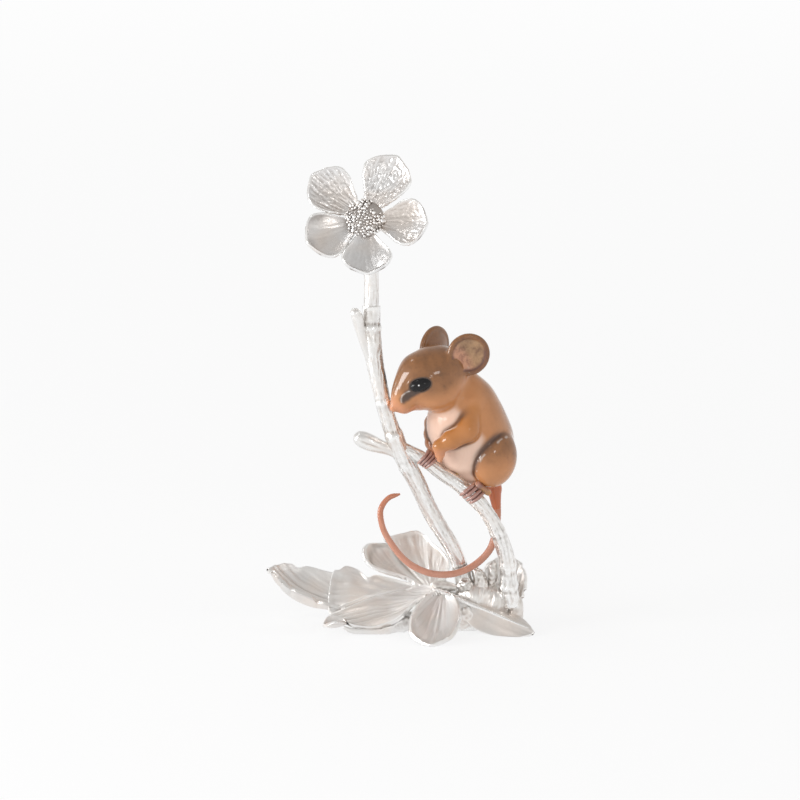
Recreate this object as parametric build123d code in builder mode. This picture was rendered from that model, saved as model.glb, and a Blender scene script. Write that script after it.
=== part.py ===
from build123d import *
import os
from math import cos, radians, sin

# A painted mouse on a silver-plated spray: a bent stem that carries one flower, a side branch
# that the mouse grips, and a ring of cupped leaves that the whole piece stands on.
# Sizes are in millimetres. +Z is up, the front faces -Y, and the origin lies on the ground under
# the middle of the hub, in the face that is ground flat.

os.makedirs("parts", exist_ok=True)

# Sizes shared by every soldered and pinned joint
fit_gap = 0.05
leaf_thickness = 1.3

# Hub under the leaves
hub_length = 31.0
hub_depth = 17.0
hub_height = 11.0
hub_shift = 4.5

# Main stem, measured from its foot in the hub
stem_foot_right = 4.8
stem_seat = 5.0
stem_rise = 95.0
stem_lean = 29.9
stem_bow = 4.0
stem_radius = 2.55

# Stalk between the stem and the flower
stalk_radius = 2.2
stalk_rise = 26.5
stalk_spigot = 6.0
stalk_lean = 1.7
stalk_nod = 3.2

# Side branch that carries the mouse
branch_start_share = 0.574
branch_reach = 34.0
branch_drop = 52.5
branch_bow = 3.2
branch_radius = 2.35

# Small growths on the stem
bract_length = 20.5
bract_lean = 6.3
bract_radius = 1.35
bract_share = 0.79
bud_length = 14.5
bud_rise = 6.0
bud_radius = 2.3
bud_share = 0.545

# Leaves
front_leaf_length = 22.7
front_leaf_width = 14.2
near_leaf_length = 36.0
near_leaf_width = 18.0
far_leaf_length = 29.0
far_leaf_width = 14.0
back_leaf_length = 23.0
back_leaf_width = 24.0
upright_leaf_length = 18.0
upright_leaf_width = 14.0
trailing_leaf_length = 29.9
trailing_leaf_width = 12.0
trailing_leaf_thickness = 2.0

# Flower
flower_tilt = 32.0
petal_length = 15.2
petal_width = 14.2
petal_thickness = 1.1
petal_ring = 4.4
petal_lift = 9.0
centre_radius = 5.8
centre_height = 3.6
calyx_radius = 5.2
calyx_height = 3.4
calyx_socket = 1.6

# Mouse, measured in its own frame: forward, left and up from the middle of its seat
mouse_yaw = 30.0
mouse_seat_height = 50.0
mouse_right = 4.9
mouse_back = 3.0
body_height = 36.0
body_depth = 27.0
body_width = 23.0
head_length = 28.5
head_height = 20.0
head_width = 16.8
head_droop = 26.0
head_turn = 5.0
ear_radius = 6.5
ear_thickness = 1.3
ear_dish_radius = 13.0
ear_spread = 70.0
eye_length = 6.2
eye_height = 3.5
eye_depth = 3.4
foreleg_radius = 2.7
thigh_length = 16.8
thigh_depth = 14.0
thigh_width = 10.0
foot_radius = 1.9
toe_radius = 0.85
toe_spread = 4.6
tail_reach = 32.0
tail_forward = 15.3
tail_drop = 27.7
tail_radius = 1.05

# Pins that lock the castings before they are soldered
stem_pin_radius = 0.9
stem_pin_length = 10.0
branch_pin_radius = 0.6
branch_pin_length = 6.5
seat_pin_radius = 0.7
seat_pin_length = 8.0
flower_pin_radius = 0.6
flower_pin_length = 8.0

front_side = Vector(0, -1, 0)


def finish(piece, name):
    """Labels a finished piece and writes it to its own file."""
    piece.part.label = name
    export_step(piece.part, f"parts/{name}.step")


def rings(line, sections, half_size, side):
    """Round sections set across a line: each has its place along the line and its swell."""
    found = []
    for along_share, swell_share in sections:
        with BuildSketch(Plane(line @ along_share, side, line % along_share)) as ring:
            Circle(half_size * swell_share)
        found.append(ring.sketch)
    return found


def ovals(base, sections, length, half_height, half_width):
    """Oval sections stacked along a plane's normal.

    Each section gives shares: its place, how far it lies off the axis, its half height along the
    plane's X and its half width along the plane's Y."""
    found = []
    for along, off, high, wide in sections:
        with BuildSketch(base.offset(along * length)) as oval:
            with Locations((off * half_height, 0)):
                Ellipse(high * half_height, wide * half_width)
        found.append(oval.sketch)
    return found


def leaf_plane(root, heading, pitch):
    """A plane whose X runs out along a leaf and whose Z is the leaf's upper side."""
    outward = Vector(1, 0, 0).rotate(Axis.Y, -pitch).rotate(Axis.Z, heading)
    upward = Vector(0, 0, 1).rotate(Axis.Y, -pitch).rotate(Axis.Z, heading)
    return Plane(root, outward, upward)


def hub_point(right_share, back_share, up_share):
    """A place near the hub, in shares of its length, depth and height."""
    return Vector(right_share * hub_length, back_share * hub_depth, up_share * hub_height)


def sheet_sections(base, length, width, thickness, sections):
    """Curved strips across a leaf or petal, from its root to its tip.

    Each section gives shares: its place along the length, how far the left edge stands out in
    half widths and how high it lies in lengths, the height of the midrib, then the same two
    for the right edge."""
    found = []
    for along, left_out, left_up, rib_up, right_out, right_up in sections:
        middle = base.from_local_coords((along * length, 0, 0))
        left = (left_out * width / 2, left_up * length)
        rib = (0, rib_up * length)
        right = (-right_out * width / 2, right_up * length)
        with BuildSketch(Plane(middle, base.y_dir, base.x_dir)) as strip:
            with BuildLine():
                ThreePointArc(left, rib, right)
                Line(right, (right[0], right[1] - thickness))
                ThreePointArc(
                    (right[0], right[1] - thickness),
                    (rib[0], rib[1] - thickness),
                    (left[0], left[1] - thickness),
                )
                Line((left[0], left[1] - thickness), left)
            make_face()
        found.append(strip.sketch)
    return found


def keep_largest(piece):
    """Drops the crumbs that a cut has left beside a piece."""
    piece.part = Part([piece.part.solids().sort_by(SortBy.VOLUME)[-1]])


# Lines that the spray is laid out on
stem_route_shares = (
    (0, 0, 0),
    (0.14, 0.25, 0.18),
    (0.401, 0.6, 0.333),
    (0.552, 0.8, 0.438),
    (0.712, 0.95, 0.538),
    (0.803, 1, 0.615),
    (0.876, 1, 0.694),
    (0.93, 0.85, 0.77),
    (0.98, 0.55, 0.856),
    (1, 0.15, 0.957),
    (1, 0, 1),
)
stem_foot = Vector(stem_foot_right, 0, stem_seat)
stem_points = [
    stem_foot + Vector(-across * stem_lean, -bow * stem_bow, up * stem_rise)
    for across, bow, up in stem_route_shares
]
with BuildLine() as stem_path:
    Spline(*stem_points)
stem_line = stem_path.line

branch_route_shares = (
    (0, 0, 0),
    (0.241, 0.125, 0.086),
    (0.382, 0.375, 0.152),
    (0.524, 0.69, 0.213),
    (0.629, 0.94, 0.269),
    (0.718, 1, 0.324),
    (0.806, 0.94, 0.404),
    (0.868, 0.75, 0.484),
    (0.921, 0.5, 0.577),
    (0.956, 0.25, 0.669),
    (0.974, -0.06, 0.792),
    (0.991, -0.25, 0.914),
    (1, -0.25, 1),
)
branch_start = stem_line @ branch_start_share
branch_points = [
    branch_start + Vector(across * branch_reach, -bow * branch_bow, -down * branch_drop)
    for across, bow, down in branch_route_shares
]
with BuildLine() as branch_path:
    Spline(*branch_points)
branch_line = branch_path.line
branch_length = branch_path.edge().length

# Frame of the flower: its normal is the way the flower looks
flower_facing = Vector(0, -cos(radians(flower_tilt)), sin(radians(flower_tilt)))
stem_top = stem_line @ 1
calyx_back = stem_top + Vector(-stalk_lean, -stalk_nod, stalk_rise)
flower_plane = Plane(calyx_back + flower_facing * calyx_height, Vector(1, 0, 0), flower_facing)

# Frame of the mouse: X forward, Y to its left, Z up
mouse_forward = Vector(-cos(radians(mouse_yaw)), -sin(radians(mouse_yaw)), 0)
mouse_plane = Plane(Vector(mouse_right, mouse_back, mouse_seat_height), mouse_forward, Vector(0, 0, 1))


def mouse_point(forward_share, left_share, up_share):
    """A place on the mouse, in shares of its body height."""
    return mouse_plane.from_local_coords(
        (forward_share * body_height, left_share * body_height, up_share * body_height)
    )


# Pins: each crosses one joint between two castings
stem_pin_plane = Plane(stem_line @ 0.02, front_side, stem_line % 0.02)
branch_pin_plane = Plane(branch_start, front_side, branch_line % 0.05)
flower_pin_plane = flower_plane.offset(-calyx_height)
seat_start = branch_line @ 0.30
seat_way = Vector(0.35, 0.62, 0.70)
seat_pin_plane = Plane(seat_start, Vector(1, 0, 0).cross(seat_way), seat_way)
pin_sizes = {
    "stem_pin": (stem_pin_plane.offset(-stem_pin_length / 3), stem_pin_radius, stem_pin_length),
    "branch_pin": (branch_pin_plane, branch_pin_radius, branch_pin_length),
    "flower_pin": (flower_pin_plane.offset(-flower_pin_length / 2), flower_pin_radius, flower_pin_length),
    "seat_pin": (seat_pin_plane, seat_pin_radius, seat_pin_length),
}
bores = {}
for name, (pin_plane, radius, length) in pin_sizes.items():
    with BuildPart() as pin:
        with BuildSketch(pin_plane):
            Circle(radius)
        extrude(amount=length)
    finish(pin, name)
    with BuildPart() as bore:
        with BuildSketch(pin_plane.offset(-fit_gap)):
            Circle(radius + fit_gap)
        extrude(amount=length + 2 * fit_gap)
    bores[name] = bore.part

# Main stem: one bowed casting that swells at its foot and at its torn collar
stem_swell_shares = (
    (0, 1.25),
    (0.06, 1.1),
    (0.16, 0.94),
    (0.3, 1.0),
    (0.45, 1.04),
    (0.56, 1.12),
    (0.66, 0.94),
    (0.78, 0.96),
    (0.88, 1.1),
    (0.96, 1.02),
    (1, 1.08),
)
stalk_socket_base = stem_top - Vector(0, 0, stalk_spigot)
with BuildPart() as main_stem:
    loft(rings(stem_line, stem_swell_shares, stem_radius, front_side))
    with BuildSketch(Plane(stalk_socket_base, Vector(1, 0, 0), Vector(0, 0, 1))):
        Circle(stalk_radius * 0.8 + fit_gap)
    extrude(amount=stalk_spigot * 2, mode=Mode.SUBTRACT)
    add(bores["stem_pin"], mode=Mode.SUBTRACT)
    add(bores["branch_pin"], mode=Mode.SUBTRACT)

# Flower stalk: a straight spigot in the stem's socket, then a shoulder and the bent stalk
with BuildLine() as stalk_path:
    Spline(
        stem_top,
        stem_top + Vector(0, 0, stalk_rise * 0.35),
        stem_top + Vector(-stalk_lean * 0.7, 0, stalk_rise * 0.8),
        calyx_back + flower_facing * calyx_socket,
        tangents=(Vector(0, 0, 1), flower_facing),
    )
stalk_line = stalk_path.line
stalk_swell_shares = ((0, 1.05), (0.25, 1), (0.5, 1), (0.75, 0.95), (0.9, 0.92), (1, 0.85))
with BuildPart() as flower_stalk:
    loft(rings(stalk_line, stalk_swell_shares, stalk_radius, Vector(1, 0, 0)))
    with BuildSketch(Plane(stalk_socket_base, Vector(1, 0, 0), Vector(0, 0, 1))):
        Circle(stalk_radius * 0.8)
    extrude(amount=stalk_spigot)
    add(main_stem.part, mode=Mode.SUBTRACT)
    add(bores["flower_pin"], mode=Mode.SUBTRACT)

# Side branch: leaves the stem half way up, carries the mouse and bends down to the hub
branch_swell_shares = (
    (0, 0.85),
    (0.12, 0.88),
    (0.25, 0.9),
    (0.4, 0.98),
    (0.55, 0.95),
    (0.7, 1.04),
    (0.85, 1.15),
    (1, 1.2),
)
with BuildPart() as side_branch:
    loft(rings(branch_line, branch_swell_shares, branch_radius, front_side))
    add(main_stem.part, mode=Mode.SUBTRACT)
    for name in ("stem_pin", "branch_pin", "seat_pin"):
        add(bores[name], mode=Mode.SUBTRACT)
keep_largest(side_branch)

# Bract: a sliver of torn sheath that stands off the stem near its collar
bract_foot = stem_line @ bract_share
with BuildLine() as bract_path:
    Spline(
        bract_foot,
        bract_foot + Vector(-bract_lean * 0.6, 0, bract_length * 0.4),
        bract_foot + Vector(-bract_lean * 0.86, 0, bract_length * 0.7),
        bract_foot + Vector(-bract_lean, 0, bract_length),
    )
bract_swell_shares = ((0, 0.9), (0.4, 0.9), (0.7, 1.05), (0.92, 1.25), (1, 0.8))
with BuildPart() as stem_bract:
    loft(rings(bract_path.line, bract_swell_shares, bract_radius, front_side))
    add(main_stem.part, mode=Mode.SUBTRACT)
keep_largest(stem_bract)

# Bud: a blunt closed bud on the far side of the stem from the branch
bud_foot = stem_line @ bud_share
with BuildLine() as bud_path:
    Line(bud_foot, bud_foot + Vector(-bud_length, 0, bud_rise))
bud_swell_shares = ((0, 0.75), (0.3, 0.8), (0.55, 0.95), (0.8, 1.08), (0.94, 0.8), (1, 0.35))
with BuildPart() as bud_twig:
    loft(rings(bud_path.line, bud_swell_shares, bud_radius, front_side))
    add(main_stem.part, mode=Mode.SUBTRACT)
    add(side_branch.part, mode=Mode.SUBTRACT)
keep_largest(bud_twig)

# Hub: a low boss, ground flat underneath, that every leaf root is soldered to
hub_shares = (
    (0, 1, 1, 1),
    (0.3, 0.65, 0.94, 0.95),
    (0.55, 0.0, 0.66, 0.82),
    (0.8, -0.55, 0.42, 0.62),
    (1, -0.8, 0.25, 0.38),
)
with BuildPart() as hub:
    for up, shift, long_share, deep_share in hub_shares:
        with BuildSketch(Plane.XY.offset(up * hub_height)):
            with Locations((shift * hub_shift, 0)):
                Ellipse(long_share * hub_length / 2, deep_share * hub_depth / 2)
    loft()
    add(main_stem.part, mode=Mode.SUBTRACT)
    add(side_branch.part, mode=Mode.SUBTRACT)
    add(bores["stem_pin"], mode=Mode.SUBTRACT)
keep_largest(hub)

# Leaves: cupped sheets. Each is cut where it meets the hub, the stems and the leaves before it
near_leaf_shares = (
    (0, 0.22, 0.01, 0, 0.22, 0.01),
    (0.25, 0.4, -0.01, -0.03, 0.5, 0.045),
    (0.48, 0.89, -0.14, -0.03, 0.8, 0.12),
    (0.7, 1, -0.17, 0, 1, 0.21),
    (0.87, 0.92, -0.11, 0, 1, 0.27),
    (1, 0.75, -0.09, 0, 0.75, 0.2),
)
front_leaf_shares = (
    (0, 0.2, 0.01, -0.01, 0.2, 0.01),
    (0.15, 0.58, 0.02, -0.04, 0.58, 0.02),
    (0.4, 0.95, 0.03, -0.09, 0.95, 0.03),
    (0.65, 1, 0.02, -0.12, 1, 0.02),
    (0.85, 0.8, 0.01, -0.07, 0.8, 0.01),
    (1, 0.35, 0.02, -0.01, 0.35, 0.02),
)
far_leaf_shares = (
    (0, 0.6, -0.02, -0.05, 0.8, 0.12),
    (0.22, 0.7, -0.07, -0.1, 0.95, 0.15),
    (0.45, 0.75, -0.115, -0.14, 1, 0.13),
    (0.7, 0.7, -0.095, -0.12, 0.95, 0.09),
    (0.88, 0.5, -0.02, -0.05, 0.6, 0.06),
    (1, 0.2, 0.03, 0.01, 0.25, 0.05),
)
back_leaf_shares = (
    (0, 0.15, 0.01, -0.01, 0.15, 0.01),
    (0.2, 0.55, 0.02, -0.03, 0.45, 0.02),
    (0.4, 1.4, 0.06, -0.05, 0.62, 0.04),
    (0.6, 1.55, 0.09, -0.06, 0.52, 0.05),
    (0.78, 1.3, 0.1, -0.04, 0.24, 0.03),
    (0.92, 0.9, 0.08, 0, 0.1, 0.03),
    (1, 0.62, 0.06, 0.03, 0.04, 0.035),
)
upright_leaf_shares = (
    (0, 0.5, 0.03, 0, 0.4, 0.03),
    (0.3, 1, 0.08, -0.02, 0.8, 0.06),
    (0.6, 1, 0.1, -0.02, 0.9, 0.08),
    (0.85, 0.65, 0.08, 0, 0.65, 0.06),
    (1, 0.28, 0.05, 0.03, 0.3, 0.05),
)
trailing_leaf_shares = (
    (0, 0.3, 0.0, 0.02, 0.3, -0.02),
    (0.2, 0.7, 0.03, 0.045, 0.5, -0.05),
    (0.5, 0.95, 0.045, 0.06, 0.65, -0.09),
    (0.8, 0.75, 0.03, 0.045, 0.55, -0.065),
    (1, 0.4, 0.01, 0.025, 0.35, -0.02),
)
# Each leaf's root in shares of the hub, its heading and pitch in degrees, and its sizes
leaf_sheets = {
    "near_leaf": (
        (-0.065, -0.059, 1.09), 180, -10.4,
        near_leaf_length, near_leaf_width, leaf_thickness, near_leaf_shares,
    ),
    "front_leaf": (
        (-0.113, -0.147, 1.11), -102.8, -30.8,
        front_leaf_length, front_leaf_width, leaf_thickness, front_leaf_shares,
    ),
    "far_leaf": (
        (-0.968, 0.176, 0.545), 165.2, 19,
        far_leaf_length, far_leaf_width, leaf_thickness, far_leaf_shares,
    ),
    "back_leaf": (
        (-0.226, 0.176, 0.955), 105, 35,
        back_leaf_length, back_leaf_width, leaf_thickness, back_leaf_shares,
    ),
    "upright_leaf": (
        (0.468, 0.176, 0.273), 80, 65,
        upright_leaf_length, upright_leaf_width, leaf_thickness, upright_leaf_shares,
    ),
    "trailing_leaf": (
        (-0.097, -0.176, 1.045), -15.9, -20.1,
        trailing_leaf_length, trailing_leaf_width, trailing_leaf_thickness, trailing_leaf_shares,
    ),
}
leaves = {}
for name, (root_shares, heading, pitch, *sizes) in leaf_sheets.items():
    with BuildPart() as leaf:
        loft(sheet_sections(leaf_plane(hub_point(*root_shares), heading, pitch), *sizes))
        split(bisect_by=Plane.XY, keep=Keep.TOP)
        for neighbour in (hub, main_stem, side_branch):
            add(neighbour.part, mode=Mode.SUBTRACT)
        for earlier in leaves.values():
            add(earlier.part, mode=Mode.SUBTRACT)
    keep_largest(leaf)
    leaves[name] = leaf
    finish(leaf, name)

for name, piece in (
    ("hub", hub),
    ("main_stem", main_stem),
    ("flower_stalk", flower_stalk),
    ("stem_bract", stem_bract),
    ("side_branch", side_branch),
    ("bud_twig", bud_twig),
):
    finish(piece, name)

# Flower centre: a low boss of stamens over the calyx
centre_shares = ((-0.14, 0.86), (0.15, 1), (0.45, 0.93), (0.75, 0.7), (1, 0.3))
with BuildPart() as flower_centre:
    for up, spread in centre_shares:
        with BuildSketch(flower_plane.offset(up * centre_height)):
            Circle(spread * centre_radius)
    loft()
    add(bores["flower_pin"], mode=Mode.SUBTRACT)

# Calyx: a small cup that the stalk ends in
calyx_shares = ((-1.15, 0.5), (-0.7, 0.66), (-0.15, 1))
with BuildPart() as calyx:
    for up, spread in calyx_shares:
        with BuildSketch(flower_plane.offset(up * calyx_height)):
            Circle(spread * calyx_radius)
    loft()
    for neighbour in (flower_stalk, flower_centre):
        add(neighbour.part, mode=Mode.SUBTRACT)
    add(bores["flower_pin"], mode=Mode.SUBTRACT)

# Petals: five spoons round the centre, each at its own angle
petal_set = ((63, 1.1), (-8, 0.95), (-88, 0.92), (-153.5, 1), (141.5, 1.07))
petal_shares = (
    (0, 0.32, 0.02, -0.01, 0.32, 0.02),
    (0.2, 0.56, 0.04, -0.03, 0.56, 0.04),
    (0.45, 0.92, 0.09, -0.03, 0.92, 0.09),
    (0.66, 1, 0.11, -0.01, 1, 0.11),
    (0.86, 0.8, 0.1, 0.03, 0.8, 0.1),
    (1, 0.38, 0.1, 0.07, 0.38, 0.1),
)
petals = []
for count, (heading, size_share) in enumerate(petal_set, start=1):
    outward = Vector(1, 0, 0).rotate(Axis((0, 0, 0), flower_facing), heading)
    across = flower_facing.cross(outward)
    lifted = outward * cos(radians(petal_lift)) + flower_facing * sin(radians(petal_lift))
    root = flower_plane.origin + outward * petal_ring
    petal_plane = Plane(root, lifted, lifted.cross(across))
    with BuildPart() as petal:
        loft(
            sheet_sections(
                petal_plane, petal_length * size_share, petal_width, petal_thickness, petal_shares
            )
        )
        add(flower_centre.part, mode=Mode.SUBTRACT)
        add(calyx.part, mode=Mode.SUBTRACT)
        for earlier in petals:
            add(earlier.part, mode=Mode.SUBTRACT)
    keep_largest(petal)
    petals.append(petal)
    finish(petal, f"petal_{count}")
finish(flower_centre, "flower_centre")
finish(calyx, "calyx")

# Body: a hunched barrel that narrows to the rump below and to the neck above
body_shares = (
    (-0.16, -0.4, 0.26, 0.3),
    (-0.08, -0.26, 0.63, 0.74),
    (0, -0.12, 0.85, 0.87),
    (0.14, -0.05, 0.95, 0.98),
    (0.28, 0.07, 1.01, 1.02),
    (0.42, 0.16, 0.96, 0.97),
    (0.55, 0.2, 0.82, 0.84),
    (0.69, 0.22, 0.6, 0.62),
    (0.8, 0.24, 0.3, 0.35),
)
with BuildPart() as body:
    loft(ovals(mouse_plane, body_shares, body_height, body_depth / 2, body_width / 2))
    add(side_branch.part, mode=Mode.SUBTRACT)
    add(bores["seat_pin"], mode=Mode.SUBTRACT)
keep_largest(body)

# Head: a wedge from the nose to the nape, with a socket for each eye
nape = mouse_point(0.017, 0, 0.914)
head_way = Vector(1, 0, 0).rotate(Axis.Y, head_droop).rotate(Axis.Z, 180 + mouse_yaw - head_turn)
nose = nape + head_way * head_length
head_left = Vector(0, 0, 1).cross(head_way).normalized()
head_up = head_way.cross(head_left)
head_plane = Plane(nose, head_up, -head_way)
head_shares = (
    (0, 0, 0.1, 0.1),
    (0.084, 0.05, 0.4, 0.36),
    (0.21, 0.2, 0.62, 0.55),
    (0.37, 0.19, 0.92, 0.85),
    (0.53, 0.085, 1.025, 1),
    (0.68, 0.085, 0.935, 0.98),
    (0.84, 0.12, 0.62, 0.74),
    (0.95, 0.05, 0.2, 0.25),
)
eye_slant_share = 0.28
eyes = {}
for name, side in (("eye_left", 1), ("eye_right", -1)):
    place = nose - head_way * head_length * 0.345 + head_up * head_height * 0.225
    place = place + head_left * side * head_width * 0.34
    looking = head_left * side + head_up * 0.45 + head_way * 0.35
    with BuildPart() as eye:
        Sphere(eye_length / 2)
        scale(by=(1, eye_height / eye_length, eye_depth / eye_length))
    eye.part = eye.part.moved(Plane(place, head_way + head_up * eye_slant_share, looking).location)
    eyes[name] = eye
with BuildPart() as head:
    loft(ovals(head_plane, head_shares, head_length, head_height / 2, head_width / 2))
    add(body.part, mode=Mode.SUBTRACT)
    for eye in eyes.values():
        add(eye.part, mode=Mode.SUBTRACT)
keep_largest(head)

# Ears: round dishes that stand on the crown
ear_rim = (ear_dish_radius**2 - ear_radius**2) ** 0.5
ears = {}
for name, side, place in (
    ("ear_left", 1, mouse_point(0.14, 0.202, 1.004)),
    ("ear_right", -1, mouse_point(0.212, -0.296, 0.978)),
):
    listening = Vector(1, 0, 0).rotate(Axis.Z, 180 + mouse_yaw + side * ear_spread)
    ear_plane = Plane(place, Vector(0, 0, 1), listening)
    with BuildPart() as ear:
        with Locations(ear_plane.offset(ear_rim).location):
            Sphere(ear_dish_radius + ear_thickness)
            Sphere(ear_dish_radius, mode=Mode.SUBTRACT)
        with BuildSketch(ear_plane.offset(-ear_radius)):
            Circle(ear_radius)
        extrude(amount=ear_radius * 1.1, mode=Mode.INTERSECT)
        add(head.part, mode=Mode.SUBTRACT)
        add(body.part, mode=Mode.SUBTRACT)
    keep_largest(ear)
    ears[name] = ear

# Haunches: one rounded thigh on each flank
haunches = {}
for name, side in (("haunch_left", 1), ("haunch_right", -1)):
    with BuildPart() as haunch:
        Sphere(thigh_length / 2)
        scale(by=(1, thigh_depth / thigh_length, thigh_width / thigh_length))
    along = Vector(0, 0, 1) - mouse_forward * 0.3
    haunch.part = haunch.part.moved(
        Plane(mouse_point(-0.075, 0.27 * side, 0.089), along, mouse_plane.y_dir * side).location
    )
    haunches[name] = haunch

# Hind feet: a sole from the heel to the ball, and toes that curl round the branch
foot_places = {
    "foot_left": (0.385, (-0.017, 0.239, -0.2)),
    "foot_right": (0.155, (0.22, -0.06, 0.15)),
}
toe_share_shifts = (-0.5, -0.17, 0.17, 0.5)
feet = {}
for name, (branch_share, heel_shares) in foot_places.items():
    held = branch_line @ branch_share
    upward = (Vector(0, 0, 1) - (branch_line % branch_share) * (branch_line % branch_share).Z)
    upward = upward.normalized()
    ball = held + upward * (branch_radius + foot_radius * 0.75)
    with BuildLine() as sole_path:
        Line(mouse_point(*heel_shares), ball + (ball - mouse_point(*heel_shares)).normalized())
    with BuildPart() as foot:
        sole_swells = ((0, 0.85), (0.3, 1), (0.75, 1), (0.93, 0.8), (1, 0.35))
        loft(rings(sole_path.line, sole_swells, foot_radius, upward))
        for shift in toe_share_shifts:
            toe_share = branch_share + shift * toe_spread / branch_length
            knuckle = branch_line @ toe_share
            grip = branch_radius + toe_radius * 0.6
            with BuildLine() as toe_path:
                Spline(
                    knuckle + upward * (grip + toe_radius) + Vector(0, grip * 0.3, 0),
                    knuckle + upward * grip * 0.8 + front_side * grip * 0.75,
                    knuckle + front_side * grip,
                    knuckle - upward * grip * 0.55 + front_side * grip * 0.8,
                )
            toe_swells = ((0, 0.9), (0.3, 1), (0.7, 0.95), (0.93, 0.8), (1, 0.35))
            loft(rings(toe_path.line, toe_swells, toe_radius, branch_line % branch_share))
        add(side_branch.part, mode=Mode.SUBTRACT)
        add(main_stem.part, mode=Mode.SUBTRACT)
        add(body.part, mode=Mode.SUBTRACT)
        add(bores["seat_pin"], mode=Mode.SUBTRACT)
        for earlier in feet.values():
            add(earlier.part, mode=Mode.SUBTRACT)
    keep_largest(foot)
    feet[name] = foot
for name, haunch in haunches.items():
    with BuildPart() as fitted:
        add(haunch.part)
        add(body.part, mode=Mode.SUBTRACT)
        add(side_branch.part, mode=Mode.SUBTRACT)
        for foot in feet.values():
            add(foot.part, mode=Mode.SUBTRACT)
    keep_largest(fitted)
    haunch.part = fitted.part

# Forelegs: bent limbs that end in small paws held over the belly
foreleg_routes = {
    "foreleg_left": (
        (0.08, 0.13, 0.56),
        (0.189, 0.256, 0.361),
        (0.317, 0.206, 0.303),
        (0.403, 0.167, 0.247),
        (0.397, 0.169, 0.167),
    ),
    "foreleg_right": (
        (0.12, -0.12, 0.55),
        (0.235, -0.194, 0.347),
        (0.289, -0.15, 0.272),
        (0.328, -0.094, 0.206),
        (0.342, -0.039, 0.15),
    ),
}
foreleg_swells = (1.1, 1.26, 1.07, 0.78, 0.6)
forelegs = {}
for name, route in foreleg_routes.items():
    places = [mouse_point(*place) for place in route]
    with BuildPart() as foreleg:
        for start, end, swell, next_swell in zip(
            places, places[1:], foreleg_swells, foreleg_swells[1:]
        ):
            with Locations(start):
                Sphere(foreleg_radius * swell)
            with Locations(end):
                Sphere(foreleg_radius * next_swell)
            with Locations(Plane((start + end) / 2, z_dir=end - start).location):
                Cone(foreleg_radius * swell, foreleg_radius * next_swell, (end - start).length)
        for neighbour in (body, side_branch, feet["foot_left"], feet["foot_right"]):
            add(neighbour.part, mode=Mode.SUBTRACT)
        for other in list(haunches.values()) + list(forelegs.values()):
            add(other.part, mode=Mode.SUBTRACT)
    keep_largest(foreleg)
    forelegs[name] = foreleg

# Tail: drops behind the branch, sweeps past the front of the stem and curls up
tail_route_shares = (
    (0, 0, 0),
    (0.075, 0.072, 0.199),
    (0.106, 0.229, 0.469),
    (0.0875, 0.346, 0.635),
    (0.04, 0.425, 0.78),
    (-0.072, 0.542, 0.91),
    (-0.194, 0.706, 0.975),
    (-0.306, 0.837, 1),
    (-0.54, 1, 0.971),
    (-0.747, 1, 0.852),
    (-0.897, 0.935, 0.661),
    (-0.99, 0.869, 0.448),
    (-1, 0.804, 0.274),
    (-0.925, 0.739, 0.162),
    (-0.822, 0.673, 0.13),
)
tail_root = mouse_point(-0.15, 0.013, -0.097)
tail_points = [
    tail_root + Vector(across * tail_reach, -ahead * tail_forward, -down * tail_drop)
    for across, ahead, down in tail_route_shares
]
with BuildLine() as tail_path:
    Spline(*tail_points)
tail_stretches = (
    ((0, 2.4), (0.04, 2.2), (0.08, 1.65), (0.13, 1.25)),
    ((0.13, 1.25), (0.17, 1.15), (0.21, 1.1), (0.25, 1.08), (0.3, 1.05)),
    ((0.3, 1.05), (0.35, 1), (0.4, 1), (0.45, 1)),
    ((0.45, 1), (0.5, 1), (0.55, 1), (0.6, 0.98)),
    ((0.6, 0.98), (0.65, 0.95), (0.7, 0.93), (0.75, 0.92)),
    ((0.75, 0.92), (0.8, 0.9), (0.84, 0.87), (0.88, 0.84)),
    ((0.88, 0.84), (0.91, 0.81), (0.94, 0.77), (0.97, 0.7), (1, 0.5)),
)
with BuildPart() as tail:
    for stretch in tail_stretches:
        loft(rings(tail_path.line, stretch, tail_radius, Vector(0, 1, 0)))
    add(body.part, mode=Mode.SUBTRACT)
    for neighbour in list(haunches.values()) + list(feet.values()):
        add(neighbour.part, mode=Mode.SUBTRACT)
keep_largest(tail)

finish(body, "body")
finish(head, "head")
finish(tail, "tail")
for group in (eyes, ears, haunches, feet, forelegs):
    for name, piece in group.items():
        finish(piece, name)
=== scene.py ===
# %% [markdown]
# # A painted mouse on a silver spray
# The solids of the figurine are loaded first and stay where they are. They are the frame that
# every piece below is modelled into: each new piece rides on the same body, stands for one or
# more solids, and keeps their place and size.

# %% Load the solids
import math
import bpy
import numpy as np
from mathutils import Matrix, Vector, noise


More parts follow.
